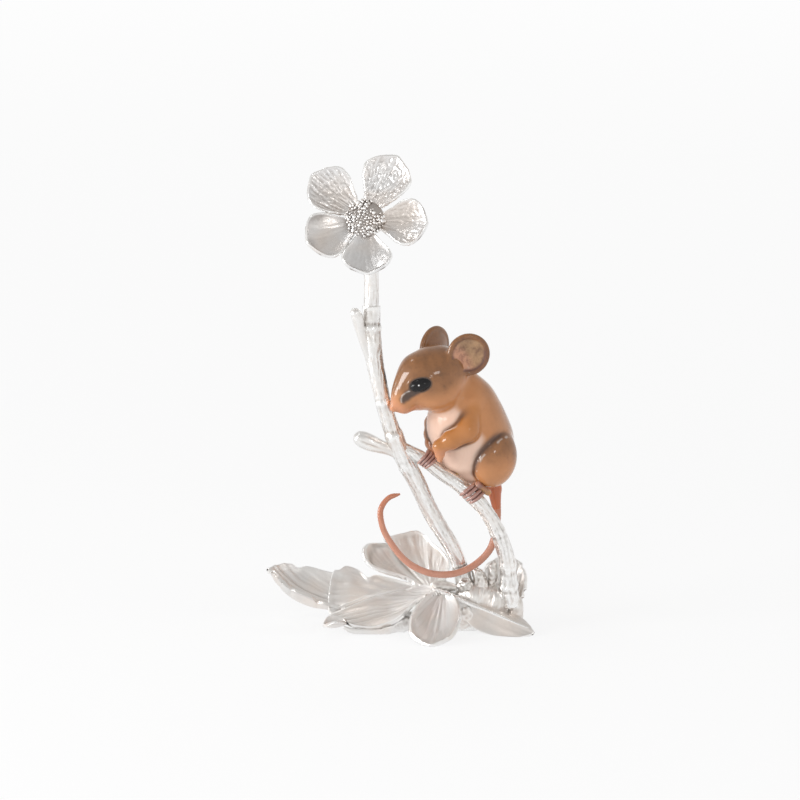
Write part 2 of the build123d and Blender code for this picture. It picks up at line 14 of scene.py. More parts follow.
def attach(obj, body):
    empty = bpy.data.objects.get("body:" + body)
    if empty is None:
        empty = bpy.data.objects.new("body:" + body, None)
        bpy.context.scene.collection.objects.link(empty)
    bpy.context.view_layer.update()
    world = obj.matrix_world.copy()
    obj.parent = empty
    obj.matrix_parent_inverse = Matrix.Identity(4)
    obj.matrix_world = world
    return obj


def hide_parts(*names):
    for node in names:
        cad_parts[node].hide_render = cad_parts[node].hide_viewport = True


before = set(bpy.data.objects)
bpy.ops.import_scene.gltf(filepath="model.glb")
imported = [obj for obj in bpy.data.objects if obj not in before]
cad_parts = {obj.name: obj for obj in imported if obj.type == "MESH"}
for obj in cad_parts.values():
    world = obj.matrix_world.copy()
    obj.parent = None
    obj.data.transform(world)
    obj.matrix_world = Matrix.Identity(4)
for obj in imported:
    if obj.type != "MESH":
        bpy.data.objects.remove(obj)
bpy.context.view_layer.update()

# %% [markdown]
# ## Camera and light
# A small figurine is photographed with a long lens from a little above, so the camera stands
# well back and looks down by fifteen degrees. Bright metal only looks like metal if it has
# something to mirror: a white tent, and a bright lamp low on the left that also draws the long
# white streak down the lacquered snout. The fill lamps are soft and aren't mirrored at all.

# %% Camera
MM = 0.001
LOOK_DOWN = math.radians(15)
CAMERA_AWAY = 2.668
camera_data = bpy.data.cameras.new("camera")
camera_data.lens = 400
camera_data.sensor_width = 36
camera_data.clip_start = 0.01
camera = bpy.data.objects.new("camera", camera_data)
bpy.context.scene.collection.objects.link(camera)
bpy.context.scene.camera = camera
towards_camera = Vector((0, -math.cos(LOOK_DOWN), math.sin(LOOK_DOWN)))
camera.location = Vector((-16.5, 0, 70.8)) * MM + towards_camera * CAMERA_AWAY
camera.rotation_euler = (math.pi / 2 - LOOK_DOWN, 0, 0)
print("camera at", [round(v, 4) for v in camera.location])

# %% [markdown]
# Lamps are flat rectangles that face the mouse. Their strength is kept at the level at which a
# painted colour comes out about as it was mixed.

# %% Lamps
LAMP_AIM = Vector((-0.01, 0, 0.07))


def lamp(name, place, width, height, power, mirrored=True):
    """A rectangular lamp at a place in metres. Metal and lacquer may mirror it or not."""
    data = bpy.data.lights.new(name, "AREA")
    data.shape = "RECTANGLE"
    data.size = width
    data.size_y = height
    data.energy = power
    thing = bpy.data.objects.new(name, data)
    bpy.context.scene.collection.objects.link(thing)
    thing.location = place
    thing.rotation_euler = (LAMP_AIM - thing.location).to_track_quat("-Z", "Y").to_euler()
    thing.visible_glossy = mirrored


lamp("left_lamp", (-0.72, -0.30, 0.26), 0.38, 0.22, 2.7)
lamp("low_left_lamp", (-0.77, -0.13, 0.10), 0.30, 0.14, 1.2)
lamp("top_lamp", (-0.36, 0.08, 0.78), 0.16, 0.20, 0.5)
lamp("front_lamp", (0.30, -0.67, 0.37), 0.10, 0.10, 0.2)
lamp("fill_lamp", (-0.20, -0.60, 0.42), 0.50, 0.50, 0.8, False)
lamp("right_lamp", (0.55, -0.20, 0.34), 0.40, 0.40, 0.8, False)
lamp("back_lamp", (0.05, 0.50, 0.55), 0.50, 0.20, 0.6, False)

# %% [markdown]
# ## Shader maths
# A finish is a set of nodes. Writing them as plain sums is easier to read than wiring them one
# by one, so a small class wraps a socket and turns + - * ** into Math nodes. A second class
# holds the node tree and adds the few kinds of node that the finishes share.

# %% Socket arithmetic
class Wire:
    """A node output that can be used in sums."""

    def __init__(self, finish, socket):
        self.finish = finish
        self.socket = socket

    def sum(self, kind, first, second, clamp=False):
        return self.finish.node("Math", {0: first, 1: second}, operation=kind, use_clamp=clamp)

    def __add__(self, other):
        return self.sum("ADD", self, other)

    def __radd__(self, other):
        return self.sum("ADD", other, self)

    def __sub__(self, other):
        return self.sum("SUBTRACT", self, other)

    def __rsub__(self, other):
        return self.sum("SUBTRACT", other, self)

    def __mul__(self, other):
        return self.sum("MULTIPLY", self, other)

    def __rmul__(self, other):
        return self.sum("MULTIPLY", other, self)

    def __pow__(self, other):
        return self.sum("POWER", self, other)

    def held(self):
        """The value kept between 0 and 1."""
        return self.sum("ADD", self, 0.0, clamp=True)


class Finish:
    """The node tree of a material or a world, and short ways to fill it."""

    def __init__(self, owner):
        owner.use_nodes = True
        self.owner = owner
        self.tree = owner.node_tree
        self.tree.nodes.clear()

    def node(self, kind, values=None, out=0, **settings):
        """Adds a node, sets it up, and fills its inputs with numbers, colours or wires."""
        node = self.tree.nodes.new("ShaderNode" + kind)
        for name, value in settings.items():
            setattr(node, name, value)
        for name, value in (values or {}).items():
            socket = node.inputs[name]
            if isinstance(value, Wire):
                self.tree.links.new(value.socket, socket)
            elif isinstance(value, tuple) and socket.type == "RGBA":
                socket.default_value = (*value, 1)
            else:
                socket.default_value = value
        return Wire(self, node.outputs[out]) if node.outputs else None

    def mix(self, share, first, second):
        """Two colours or colour wires mixed by a share."""
        return self.node("Mix", {0: share, 6: first, 7: second}, 2, data_type="RGBA")

    def grain(self, scale, detail=3.0, rough=0.55, stretch=None):
        """Soft noise between 0 and 1, its scale in marks per metre."""
        place = self.node("TexCoord", out="Object")
        if stretch:
            place = self.node("Mapping", {"Vector": place, "Scale": stretch})
        values = {"Vector": place, "Scale": scale, "Detail": detail, "Roughness": rough}
        return self.node("TexNoise", values)

    def mask(self, name):
        """A value that was stored on the vertices of the piece."""
        return self.node("Attribute", out="Fac", attribute_name=name)

    def bump(self, height, strength, distance):
        """Fine relief in metres."""
        return self.node("Bump", {"Height": height, "Strength": strength, "Distance": distance})

    def close(self, values):
        """Ends the tree in one Principled shader with these inputs, and gives the material."""
        self.node("OutputMaterial", {"Surface": self.node("BsdfPrincipled", values)})
        return self.owner


def paint(name):
    return Finish(bpy.data.materials.new(name))


print("shader helpers ready")

# %% [markdown]
# ## Silver
# The spray is cast and silver plated. Plating is brightest on the edges that a cloth reaches and
# dull and warm grey in the hollows, where the pickling stain stays. The hollows are measured on
# each finished mesh and stored on its vertices, so the finish only has to read them. Five plates
# differ in tone, in dullness and in how strongly they are speckled; the back leaf's plate is paler
# than the leaf plate, as painted light.

# %% Silver finishes
WARM_SILVER = (0.84, 0.775, 0.725)
RUBBED_SILVER = (0.96, 0.955, 0.945)
STAINED_SILVER = (0.36, 0.325, 0.30)


def silver_finish(name, plain, dullness, speckle):
    """A silver plate: its plain colour, its roughness, and how strongly it is speckled."""
    plate = paint(name)
    ridge = plate.mask("ridge")
    cloud = plate.grain(150.0, 4.0, 0.6)
    tint = plate.grain(90.0, 2.0, 0.5)
    fine = plate.grain(1500.0, 3.0, 0.6)
    stain = (plate.mask("hollow") * 1.15 + (cloud - 0.5) * speckle * (1 - ridge)).held()
    colour = plate.mix(((tint - 0.42) * 4.0).held(), plain, WARM_SILVER)
    colour = plate.mix(ridge, colour, RUBBED_SILVER)
    return plate.close({
        "Base Color": plate.mix(stain, colour, STAINED_SILVER),
        "Metallic": 1.0,
        "Roughness": (dullness + stain * 0.2 - ridge * 0.14 + (fine - 0.5) * 0.2).held(),
        "Normal": plate.bump(fine + cloud * 0.6, 0.35, 0.00012),
    })


petal_silver = silver_finish("petal_silver", (0.84, 0.835, 0.835), 0.30, 0.35)
leaf_silver = silver_finish("leaf_silver", (0.80, 0.785, 0.77), 0.42, 0.45)
stem_silver = silver_finish("stem_silver", (0.77, 0.755, 0.735), 0.38, 0.9)
# Painted light: the back leaf's plate is paler than the leaf plate, to make up for the darker
# surroundings that it mirrors.
painted_light_back_silver = silver_finish("painted_light_back_silver", (0.93, 0.915, 0.895), 0.48, 0.35)
hub_silver = silver_finish("hub_silver", (0.67, 0.64, 0.605), 0.42, 1.1)
print("silver finishes:", [m.name for m in bpy.data.materials if m.name.endswith("silver")])

# %% [markdown]
# ## Measuring hollows
# A point lies in a hollow if its neighbourhood, smoothed, lies above it. That is what a polishing
# cloth feels as well: it slides over the smoothed surface and misses what lies below.

# %% Hollows
def read_all(items, field, width, kind=float):
    """One field of all vertices or edges, as rows."""
    found = np.zeros(len(items) * width, kind)
    items.foreach_get(field, found)
    return found.reshape(-1, width)


def vertex_places(piece):
    return read_all(piece.data.vertices, "co", 3)


def vertex_normals(piece):
    return read_all(piece.data.vertex_normals, "vector", 3)


def edge_pairs(piece):
    return read_all(piece.data.edges, "vertices", 2, int)


def move_vertices(piece, places):
    piece.data.vertices.foreach_set("co", np.asarray(places, float).ravel())
    piece.data.update()


def relax(values, pairs, rounds):
    """Averages every vertex value with its neighbours, several times."""
    count = len(values)
    wide = values.reshape(count, -1)
    first, second = pairs[:, 0], pairs[:, 1]
    meets = np.bincount(first, minlength=count) + np.bincount(second, minlength=count)
    for _ in range(rounds):
        total = np.stack([
            np.bincount(first, column[second], count) + np.bincount(second, column[first], count)
            for column in wide.T
        ], axis=1)
        wide = (wide + total) / (1 + meets)[:, None]
    return wide.reshape(values.shape)


def store(piece, name, values):
    """Keeps one number per vertex on the piece, for its finish to read."""
    layer = piece.data.attributes.new(name, "FLOAT", "POINT")
    layer.data.foreach_set("value", np.asarray(values, np.float32))


def measure_hollows(piece, depth, rounds, dull=0.0):
    """Stores how far each vertex lies in a hollow or on a ridge, depth in millimetres."""
    places = vertex_places(piece)
    pairs = edge_pairs(piece)
    sunk = ((relax(places, pairs, rounds) - places) * vertex_normals(piece)).sum(1)
    sunk = relax(sunk, pairs, 1) / (depth * MM)
    store(piece, "hollow", np.clip(sunk + dull, 0, 1))
    store(piece, "ridge", np.clip(-sunk, 0, 1))


print("hollows can be measured")

# %% [markdown]
# ## Pieces and operators
# Every new piece starts as a flat grid or a ball. An operator acts on all that is selected, so
# these helpers first deselect everything and then select the piece that they are meant for.

# %% Pieces and operators
WELD_GAP = 0.00001


def name_piece(piece, name):
    piece.name = piece.data.name = name
    return piece


def active():
    return bpy.context.view_layer.objects.active


def select_only(*pieces):
    """Selects these pieces and nothing else, the first one as the active piece."""
    bpy.ops.object.select_all(action="DESELECT")
    for piece in pieces:
        piece.select_set(True)
    bpy.context.view_layer.objects.active = pieces[0]


def flat_grid(name, across, along):
    """A square sheet, ready to be bent, and the place of each of its points from -1 to 1."""
    bpy.ops.object.select_all(action="DESELECT")
    bpy.ops.mesh.primitive_grid_add(x_subdivisions=across, y_subdivisions=along, size=2)
    piece = name_piece(active(), name)
    return piece, *vertex_places(piece)[:, :2].T


def unit_ball(segments, rings):
    bpy.ops.object.select_all(action="DESELECT")
    bpy.ops.mesh.primitive_uv_sphere_add(segments=segments, ring_count=rings, radius=1)
    return active()


def edit(piece, *steps):
    """Runs edit-mode steps on all of one piece."""
    select_only(piece)
    bpy.ops.object.mode_set(mode="EDIT")
    bpy.ops.mesh.select_all(action="SELECT")
    for step in steps:
        step()
    bpy.ops.object.mode_set(mode="OBJECT")


def weld(piece):
    """Merges vertices that lie on each other and turns every face outwards."""
    edit(piece, lambda: bpy.ops.mesh.remove_doubles(threshold=WELD_GAP),
         lambda: bpy.ops.mesh.normals_make_consistent(inside=False))


def join(first, *others):
    """Makes several meshes one piece, which keeps the first one's name."""
    select_only(first, *others)
    bpy.ops.object.join()
    return first


def apply_modifier(piece, kind, **settings):
    select_only(piece)
    modifier = piece.modifiers.new(kind.lower(), kind)
    for name, value in settings.items():
        setattr(modifier, name, value)
    bpy.ops.object.modifier_apply(modifier=modifier.name)


def seat(piece, finish, slot, *nodes):
    """Smooths the shading, paints a piece, and lets it stand for its solids."""
    piece.data.polygons.foreach_set("use_smooth", [True] * len(piece.data.polygons))
    piece.data.materials.clear()
    piece.data.materials.append(finish)
    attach(piece, "root")
    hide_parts(*nodes)
    triangles = sum(len(p.vertices) - 2 for p in piece.data.polygons)
    print(piece.name, "stands for", ", ".join(nodes), "-", triangles, "triangles")


print("pieces can be made and edited")

# %% [markdown]
# ## Tables and noise
# Shapes that swell and shrink are written as short tables and read as smooth curves. Noise gives
# bark, crumpled metal and paint their unevenness, and is the same on every run.

# %% Tables and noise
def read_table(share, places, values):
    """A smooth curve through the rows of a table, read at many shares at once."""
    places = np.asarray(places, float)
    values = np.asarray(values, float)
    slopes = np.gradient(values, places)
    row = np.clip(np.searchsorted(places, share, side="right") - 1, 0, len(places) - 2)
    span = places[row + 1] - places[row]
    t = np.clip((share - places[row]) / span, 0, 1)
    rise = 3 * t**2 - 2 * t**3
    start = (t**3 - 2 * t**2 + t) * span * slopes[row]
    end = (t**3 - t**2) * span * slopes[row + 1]
    return values[row] * (1 - rise) + values[row + 1] * rise + start + end


def read_rows(share, rows):
    """Every column of a table whose first column is the place, read as smooth curves."""
    places, *columns = np.array(rows, float).T
    return [read_table(share, places, column) for column in columns]


def ripple(places, scale, seed=0.0):
    """Smooth noise between about -1 and 1 at each place, scale in marks per millimetre."""
    shift = Vector((seed * 7.3, seed * 3.1, -seed * 5.7))
    return np.array([noise.noise(Vector(p) * scale + shift) for p in places])


def cracks(places, scale, seed, thin):
    """Sharp lines of height 1 where smooth noise passes through 0; a higher thin is thinner."""
    return 1 - thin * np.abs(ripple(places, scale, seed))


def bell(distance, width):
    return np.exp(-((distance / width) ** 2))


print("tables and noise ready")

# %% [markdown]
# ## Leaves and petals
# Each is a cupped sheet. A flat grid is bent over a row of curved strips, the same strips that
# the solid is made of, and its outline is drawn in to a round edge. Veins, folds and the raised
# rim are then modelled into it as height, and Solidify gives the sheet its thickness.

# %% Sheet helper
GROUND_CLEARANCE = 0.00003


def cupped_sheet(name, root, outward, upward, length, width, thickness, strips, ends, grid, relief,
                 outline=None, lip=(0.3, 0.8), thin=0.6, fold=0.0):
    """A cast sheet in millimetres, from its root outwards. A strip is a share of the length, then
    the left edge's share of half the width and its height, the rib's height, and the same two of
    the right edge; heights are shares of the length. ends are the shares of the length that are
    rounded off at root and tip, lip is height and width of the raised rim, and thin is the rim's
    share of the thickness. fold runs from 0, a smooth bow, to 1, a crease on the rib."""
    piece, s, t = flat_grid(name, grid, grid)
    x = s * np.sqrt(1 - t**2 / 2)
    y = t * np.sqrt(1 - s**2 / 2)
    v = np.clip(y / np.sqrt(np.clip(1 - x**2, 1e-9, 1)), -1, 1)
    u = (x + 1) / 2
    left, left_up, rib_up, right, right_up = read_rows(u, strips)
    near_root = np.clip(1 - u / ends[0], 0, 1)
    near_tip = np.clip((u - 1 + ends[1]) / ends[1], 0, 1)
    round_ends = np.sqrt(1 - near_tip**2) * np.sqrt(1 - near_root**2)
    left_mm = left * width / 2
    right_mm = right * width / 2
    side = np.where(v > 0, left_mm, right_mm) * round_ends
    if outline:
        side = side * outline(u, v)
    across = v * side
    rise_left = (left_up - rib_up) * length / left_mm
    rise_right = (right_up - rib_up) * length / right_mm
    bow = (rise_left + rise_right) / (left_mm + right_mm)
    lean = rise_left - bow * left_mm
    height = lean * across + bow * across**2
    roof = np.where(across > 0, rise_left * across, -rise_right * across)
    height = rib_up * length + height * (1 - fold) + roof * fold
    rim = (1 - np.sqrt(x**2 + y**2)) * width / 2
    height = height + relief(u, v, across, rim) + lip[0] * bell(rim, lip[1])
    outward = Vector(outward).normalized()
    upward = Vector(upward).normalized()
    places = (np.array(root) + np.outer(u * length, outward)
              + np.outer(across, upward.cross(outward)) + np.outer(height, upward))
    move_vertices(piece, places * MM)
    weld(piece)
    piece.data.update()
    if np.dot(vertex_normals(piece).mean(0), np.array(upward)) < 0:
        edit(piece, lambda: bpy.ops.mesh.flip_normals())
    uses = {}
    for polygon in piece.data.polygons:
        for key in polygon.edge_keys:
            uses[key] = uses.get(key, 0) + 1
    border = np.zeros(len(piece.data.vertices))
    border[[corner for key, count in uses.items() if count == 1 for corner in key]] = 1
    border = np.clip(relax(border, edge_pairs(piece), 3) * 2.2, 0, 1)
    group = piece.vertex_groups.new(name="rim")
    for index, weight in enumerate(border):
        group.add([index], float(weight), "REPLACE")
    apply_modifier(piece, "SOLIDIFY", thickness=thickness * MM, offset=-1, use_rim=True,
                   vertex_group="rim", thickness_vertex_group=thin, use_even_offset=False)
    apply_modifier(piece, "SUBSURF", levels=1, render_levels=1)
    places = vertex_places(piece)
    places[:, 2] = np.maximum(places[:, 2], GROUND_CLEARANCE)
    move_vertices(piece, places)
    return piece


def as_points(x, y):
    return np.stack([x, y, np.zeros_like(x)], axis=1)


def curled_rim(u, v, rim, side, marks, width=1.0):
    """How far the edge on one side turns up; marks are shares of the length and heights."""
    lift = np.clip(read_rows(u, marks)[0], 0, None)
    near = np.clip(1 - rim / width, 0, 1)
    calm = np.clip((1 - u) / 0.1, 0, 1)
    return lift * calm * near * near * (3 - 2 * near) * np.clip(v * side * 3, 0, 1)


print("sheet helper ready")

# %% [markdown]
# ## The ring of leaves
# Six leaves carry the figurine. Each has its own strips and its own veins, and three have their
# own notches, so they are written out one by one. A vein is a ridge with a soft hollow on both
# sides, and the blade between two veins is puffed up a little and scored with fine lines.

# %% Leaf relief
def blade_relief(seed, veins, score, crumple, fan=0.8, extra=None):
    """Relief of a leaf blade. Each vein is its place across the tip, its height and its width in
    millimetres, and fans out from the root; score is the depth of the fine lines along them."""
    def relief(u, v, across, rim):
        found = np.zeros_like(u)
        for end, height, width in veins:
            off = across - end * np.clip(u, 0, 1) ** fan
            found = found + height * bell(off, width) - 0.4 * height * bell(off, width * 2.6)
        lines = across / np.clip(u, 0.05, 1) ** fan
        fine = ripple(as_points(lines * 1.3, u * 1.5), 1.0, seed)
        found = found + score * fine * np.clip(rim / 1.2, 0, 1)
        flow = as_points(lines * 0.45, u * 2.6)
        found = found + crumple * ripple(flow, 1.0, seed + 4)
        found = found + crumple * 0.5 * ripple(flow, 2.6, seed + 9)
        return found + extra(u, v, across, rim) if extra else found
    return relief


def notched(*cuts):
    """An outline with soft notches: a side (1 left, -1 right), a place, a width and a depth."""
    def outline(u, v):
        found = np.ones_like(u)
        for side, place, width, depth in cuts:
            near_side = np.clip(v * side * 1.4, 0, 1) ** 2
            found = found * (1 - depth * bell(u - place, width) * near_side)
        return found
    return outline


def leaf(name, root, heading, pitch, *shape, **more):
    """A cupped sheet that points away from its root, heading and pitch in degrees."""
    turn = (Matrix.Rotation(math.radians(heading), 3, "Z")
            @ Matrix.Rotation(math.radians(-pitch), 3, "Y"))
    outward, upward = turn @ Vector((1, 0, 0)), turn @ Vector((0, 0, 1))
    return cupped_sheet(name, root, outward, upward, *shape, **more)


def finish_silver(piece, finish, depth, node, cloud=0.0, facing=None):
    """Measures the hollows of a casting, plates it, and lets it stand for its solid. cloud adds
    broad darker clouds at random places, and facing is the side of a petal that is seen: where
    its rim and back turn away from it they are darkened and dulled as painted shade."""
    name_piece(piece, f"{node}_cast")
    dull = cloud * np.clip(0.5 + 1.6 * ripple(vertex_places(piece) / MM, 0.16, 5), 0, 1)
    if facing is not None:
        # Painted shade: where the normal turns away from the petal's face, the rim and the back are
        # darkened.
        turned = vertex_normals(piece) @ np.array(facing)
        inner = np.clip(1.8 + 2 * turned, 0.25, 1)
        dull = dull + 0.75 * np.clip((0.42 - turned) / 0.4, 0, 1) * inner
    measure_hollows(piece, depth, 10, dull)
    seat(piece, finish, "silver", node)


def clod(middle, sizes, turn, rough, seed):
    """A lump of solder and bark: a ball with facets and pits, in millimetres."""
    bpy.ops.object.select_all(action="DESELECT")
    bpy.ops.mesh.primitive_ico_sphere_add(subdivisions=5, radius=1)
    piece = active()
    shape = vertex_places(piece) * np.array(sizes)
    swell = 1.1 * ripple(shape, 0.32, seed) + 0.5 * cracks(shape, 0.62, seed + 1, 3)
    swell = swell + 0.35 * ripple(shape, 1.5, seed + 2)
    shape = shape * (1 + rough * 0.5 * swell)[:, None]
    shape = shape @ np.array(Matrix.Rotation(turn, 3, "Y")).T + np.array(middle)
    shape[:, 2] = np.maximum(shape[:, 2], 0.1)
    move_vertices(piece, shape * MM)
    return piece


print("leaf relief ready")

# %% [markdown]
# ## Bars
# Stems, toes, the tail and the crumpled metal under a leaf are bent bars. A grid is rolled up
# round a smooth line through the bar's points, and its relief is added to the radius.

# %% Bar helper
RING_HEIGHT = 0.28


def follow(points, count):
    """Places and directions at even steps along a smooth line through points, and its length."""
    points = np.array(points, float)
    steps = np.concatenate([[0], np.cumsum(np.linalg.norm(np.diff(points, axis=0), axis=1))])
    share = np.linspace(0, 1, count)
    places = np.stack([read_table(share, steps / steps[-1], column) for column in points.T], axis=1)
    ways = np.gradient(places, axis=0)
    ways = ways / np.linalg.norm(ways, axis=1)[:, None]
    return places, ways, steps[-1]


def bar(name, points, radius, swells, side, around, along, relief=None, flat=1.0):
    """A closed bar in millimetres along points; relief adds to its radius, and flat narrows it
    towards the side that is given."""
    piece, x, y = flat_grid(name, around, along)
    angle = (x + 1) * math.pi
    row = np.rint((y + 1) / 2 * along).astype(int)
    places, ways, length = follow(points, along - 1)
    side = np.array(side, float)
    sides = []
    for way in ways:
        side = side - way * side.dot(way)
        side = side / np.linalg.norm(side)
        sides.append(side)
    sides = np.array(sides)
    thirds = np.cross(ways, sides)
    step = np.clip(row - 1, 0, along - 2)
    share = step / (along - 2)
    size = radius * read_rows(share, swells)[0]
    if relief:
        spot = np.stack([np.cos(angle), np.sin(angle)], axis=1) * size[:, None]
        size = size + relief(angle, share, share * length, spot)
    size = np.where((row == 0) | (row == along), 0, size)
    out = (sides[step] * (np.cos(angle) * size * flat)[:, None]
           + thirds[step] * (np.sin(angle) * size)[:, None])
    move_vertices(piece, (places[step] + out) * MM)
    weld(piece)
    return piece


def stretched(spot, along, wide, long):
    """Places on a bar for its noise: spot lies in the section, along is the way along it."""
    return np.column_stack([spot * wide, along * long])


def grit(height, wide, long, scale, seed):
    """Relief of plain noise, stretched round and along the bar."""
    return lambda angle, share, along, spot: (
        height * ripple(stretched(spot, along, wide, long), scale, seed))


def bark(seed, rings, groove=0.16, lump=0.14):
    """Relief of a stem: long grooves, soft lumps, and rings with a dent beside them. A ring is a
    share of the length, a width in millimetres and a strength."""
    def relief(angle, share, along, spot):
        flow = stretched(spot, along, 0.75, 0.07)
        found = groove * ripple(flow, 1.0, seed)
        found = found - groove * 1.1 * np.clip(cracks(flow, 1.9, seed + 3, 4), 0, 1) ** 2
        found = found + lump * ripple(stretched(spot, along, 0.3, 0.16), 1.0, seed + 6)
        plain = stretched(spot, along, 1, 1)
        found = found + 0.05 * ripple(plain, 1.3, seed + 8)
        rough = 1 + 0.7 * ripple(plain, 0.8, seed + 5)
        for place, width, height in rings:
            wobble = ripple(stretched(spot, along, 0.5, 0), 1.0, seed + place * 9)
            near = along - (place * along.max() + wobble * 0.9)
            found = found + RING_HEIGHT * height * rough * bell(near, width)
            found = found - 0.5 * RING_HEIGHT * height * bell(near - width * 1.5, width * 0.45)
        return found
    return relief


print("bar helper ready")

# %% [markdown]
# The near leaf is the widest and the most worked one. Its thick front edge is rolled up, a slot
# runs beside its midrib, and a small folded lobe stands at its corner. Crumpled metal below it is
# a flat bar, and a lump of solder ties it to the hub. The four are joined into one casting.

# %% Near leaf
LEAF_THICK = 1.3
near_strips = (
    (0, 0.22, 0.01, 0, 0.22, 0.01), (0.25, 0.4, -0.01, -0.03, 0.5, 0.045),
    (0.48, 0.89, -0.14, -0.03, 0.8, 0.12), (0.7, 1, -0.17, 0, 1, 0.21),
    (0.87, 0.92, -0.11, 0, 1, 0.27), (1, 0.75, -0.09, 0, 0.75, 0.2),
)
near_veins = (
    (1.5, 0.3, 0.42), (2.6, 0.45, 0.4), (4.1, 0.35, 0.4), (5.6, 0.45, 0.45), (7.7, 0.32, 0.4),
    (-3.4, 0.3, 0.5), (-6.4, 0.24, 0.5),
)
near_rims = (
    (1, ((0, 0), (0.4, 0.2), (0.55, 1.0), (0.8, 1.3), (0.9, 0.6), (1, 0.2)), 1.3),
    (-1, ((0, 0), (0.4, 0.3), (0.7, 0.5), (1, 0.5)), 0.9),
)
near_crease = ((0.3, 0.45, 0.6, 0.72, 0.91, 1), (-4.4, -3.4, -2.3, -1.1, 0.2, 0.6))
fold_strips = (
    (0, 0.6, 0.1, 0.0, 0.6, 0.1), (0.5, 1.0, 0.16, -0.1, 1.0, 0.2), (1, 0.7, 0.05, -0.1, 0.7, 0.25),
)


def near_edges(u, v, across, rim):
    """The thick front edge, the slot under the midrib and the dented lobe behind."""
    found = sum(curled_rim(u, v, rim, *row) for row in near_rims)
    found = found + 0.5 * bell(u - 0.78, 0.06) * bell(across + 6.5, 2.0)
    crease = across - np.interp(u, *near_crease)
    shown = np.clip((u - 0.28) * 6, 0, 1) * np.clip((0.97 - u) * 9, 0, 1)
    slot = (0.55 + 0.5 * bell(u - 0.68, 0.1)) * bell(crease, 0.24)
    lips = 0.55 * bell(crease - 0.75, 0.42) + 0.3 * bell(crease + 0.5, 0.25)
    return found + shown * (lips - slot)


def skirt_relief(angle, share, along, spot):
    """Crumpled sheet metal, roughest where it meets the hub."""
    flow = stretched(spot, along, 0.6, 0.5)
    found = 0.35 * ripple(flow, 0.9, 71) + 0.2 * cracks(flow, 1.7, 72, 3)
    return found * (0.15 + 0.85 * np.clip((share - 0.45) * 3, 0, 1))


near_leaf = leaf(
    "near_leaf", (-2, -1, 12), 180, -10.4, 36.8, 18, LEAF_THICK, near_strips, (0.05, 0.12), 84,
    blade_relief(1, near_veins, 0.11, 0.2, 0.9, near_edges),
    notched((1, 0.9, 0.045, 0.42), (-1, 0.64, 0.045, 0.2), (-1, 0.86, 0.04, 0.1)),
)
near_fold = leaf(
    "near_fold", (-32.6, -7.4, 3.2), 186, 3, 7.0, 5.2, 1.2, fold_strips, (0.2, 0.45), 30,
    blade_relief(8, ((0.2, 0.2, 0.6),), 0.02, 0.1), lip=(0.5, 0.7),
)
near_skirt = bar(
    "near_skirt",
    ((-33.5, -9.0, 2.4), (-31.5, -9.4, 1.5), (-27.9, -9.7, 1.3), (-24.0, -9.6, 1.3),
     (-20.7, -9.0, 1.5), (-18.3, -8.0, 2.0), (-16.2, -7.0, 2.4), (-14.0, -6.0, 2.8)), 1.0,
    ((0, 0.4), (0.1, 0.75), (0.3, 0.88), (0.5, 0.95), (0.65, 1.25), (0.8, 1.75), (0.92, 2.1),
     (1, 2)), (0, 1, 0), 40, 160, skirt_relief, 0.5,
)
join(near_leaf, near_fold, near_skirt, clod((-13.4, -4.6, 2.8), (3.6, 2.0, 2.9), 0.25, 0.4, 66))
finish_silver(near_leaf, leaf_silver, 0.2, "near_leaf")

# %% [markdown]
# The front leaf is round and plain, with three soft veins and a thick rim that catches the light.

# %% Front leaf
front_strips = (
    (0, 0.2, 0.01, -0.01, 0.2, 0.01), (0.15, 0.58, 0.02, -0.04, 0.58, 0.02),
    (0.4, 0.95, 0.03, -0.09, 0.95, 0.03), (0.65, 1, 0.02, -0.12, 1, 0.02),
    (0.85, 0.8, 0.01, -0.07, 0.8, 0.01), (1, 0.35, 0.02, -0.01, 0.35, 0.02),
)
front_leaf = leaf(
    "front_leaf", (-3.5, -2.5, 12.2), -102.8, -30.8, 22.7, 14.2, LEAF_THICK, front_strips,
    (0.08, 0.2), 60,
    blade_relief(2, ((0.3, 0.3, 0.5), (3.2, 0.16, 0.6), (-3.0, 0.2, 0.6)), 0.04, 0.1),
    lip=(0.45, 0.9),
)
finish_silver(front_leaf, leaf_silver, 0.2, "front_leaf")

# %% [markdown]
# The far leaf is deeply cupped. Its front edge is rolled up like a hem, and shallow notches break
# the outline on both sides.

# %% Far leaf
far_strips = (
    (0, 0.6, -0.02, -0.05, 0.8, 0.12), (0.22, 0.7, -0.07, -0.1, 0.95, 0.15),
    (0.45, 0.75, -0.115, -0.14, 1, 0.13), (0.7, 0.7, -0.095, -0.12, 0.95, 0.09),
    (0.88, 0.56, -0.02, -0.05, 0.68, 0.06), (1, 0.5, 0.03, 0.0, 0.56, 0.06),
)
far_hem = (
    (0, 0.4), (0.2, 0.9), (0.32, 1.3), (0.44, 2.3), (0.6, 2.3), (0.75, 1.9), (0.9, 1.7), (1, 1.3),
)


def far_edges(u, v, across, rim):
    """The front edge is rolled up like a hem, widest round one lobe."""
    found = curled_rim(u, v, rim, 1, far_hem, 1.5 + 1.1 * bell(u - 0.5, 0.09))
    return found + curled_rim(u, v, rim, -1, ((0, 0.2), (0.8, 0.3), (0.95, 0.8), (1, 1.0)))


far_leaf = leaf(
    "far_leaf", (-30, 3, 6), 165.2, 19, 28.9, 14, LEAF_THICK, far_strips, (0.08, 0.22), 76,
    blade_relief(3, ((0.2, 0.4, 0.4), (-2.4, 0.34, 0.4), (-4.4, 0.24, 0.45), (2.8, 0.4, 0.4)),
                 0.11, 0.14, 0.5, far_edges),
    notched((-1, 0.26, 0.04, 0.08), (-1, 0.74, 0.05, 0.1), (1, 0.36, 0.04, 0.14),
            (1, 0.66, 0.04, 0.1)), lip=(0.2, 0.9),
)
finish_silver(far_leaf, leaf_silver, 0.22, "far_leaf")

# %% [markdown]
# The back leaf has two lobes: its strips are much wider on the left, and one deep notch parts it.
# The upright leaf is a sheath, so both of its edges stay raised nearly to the tip.

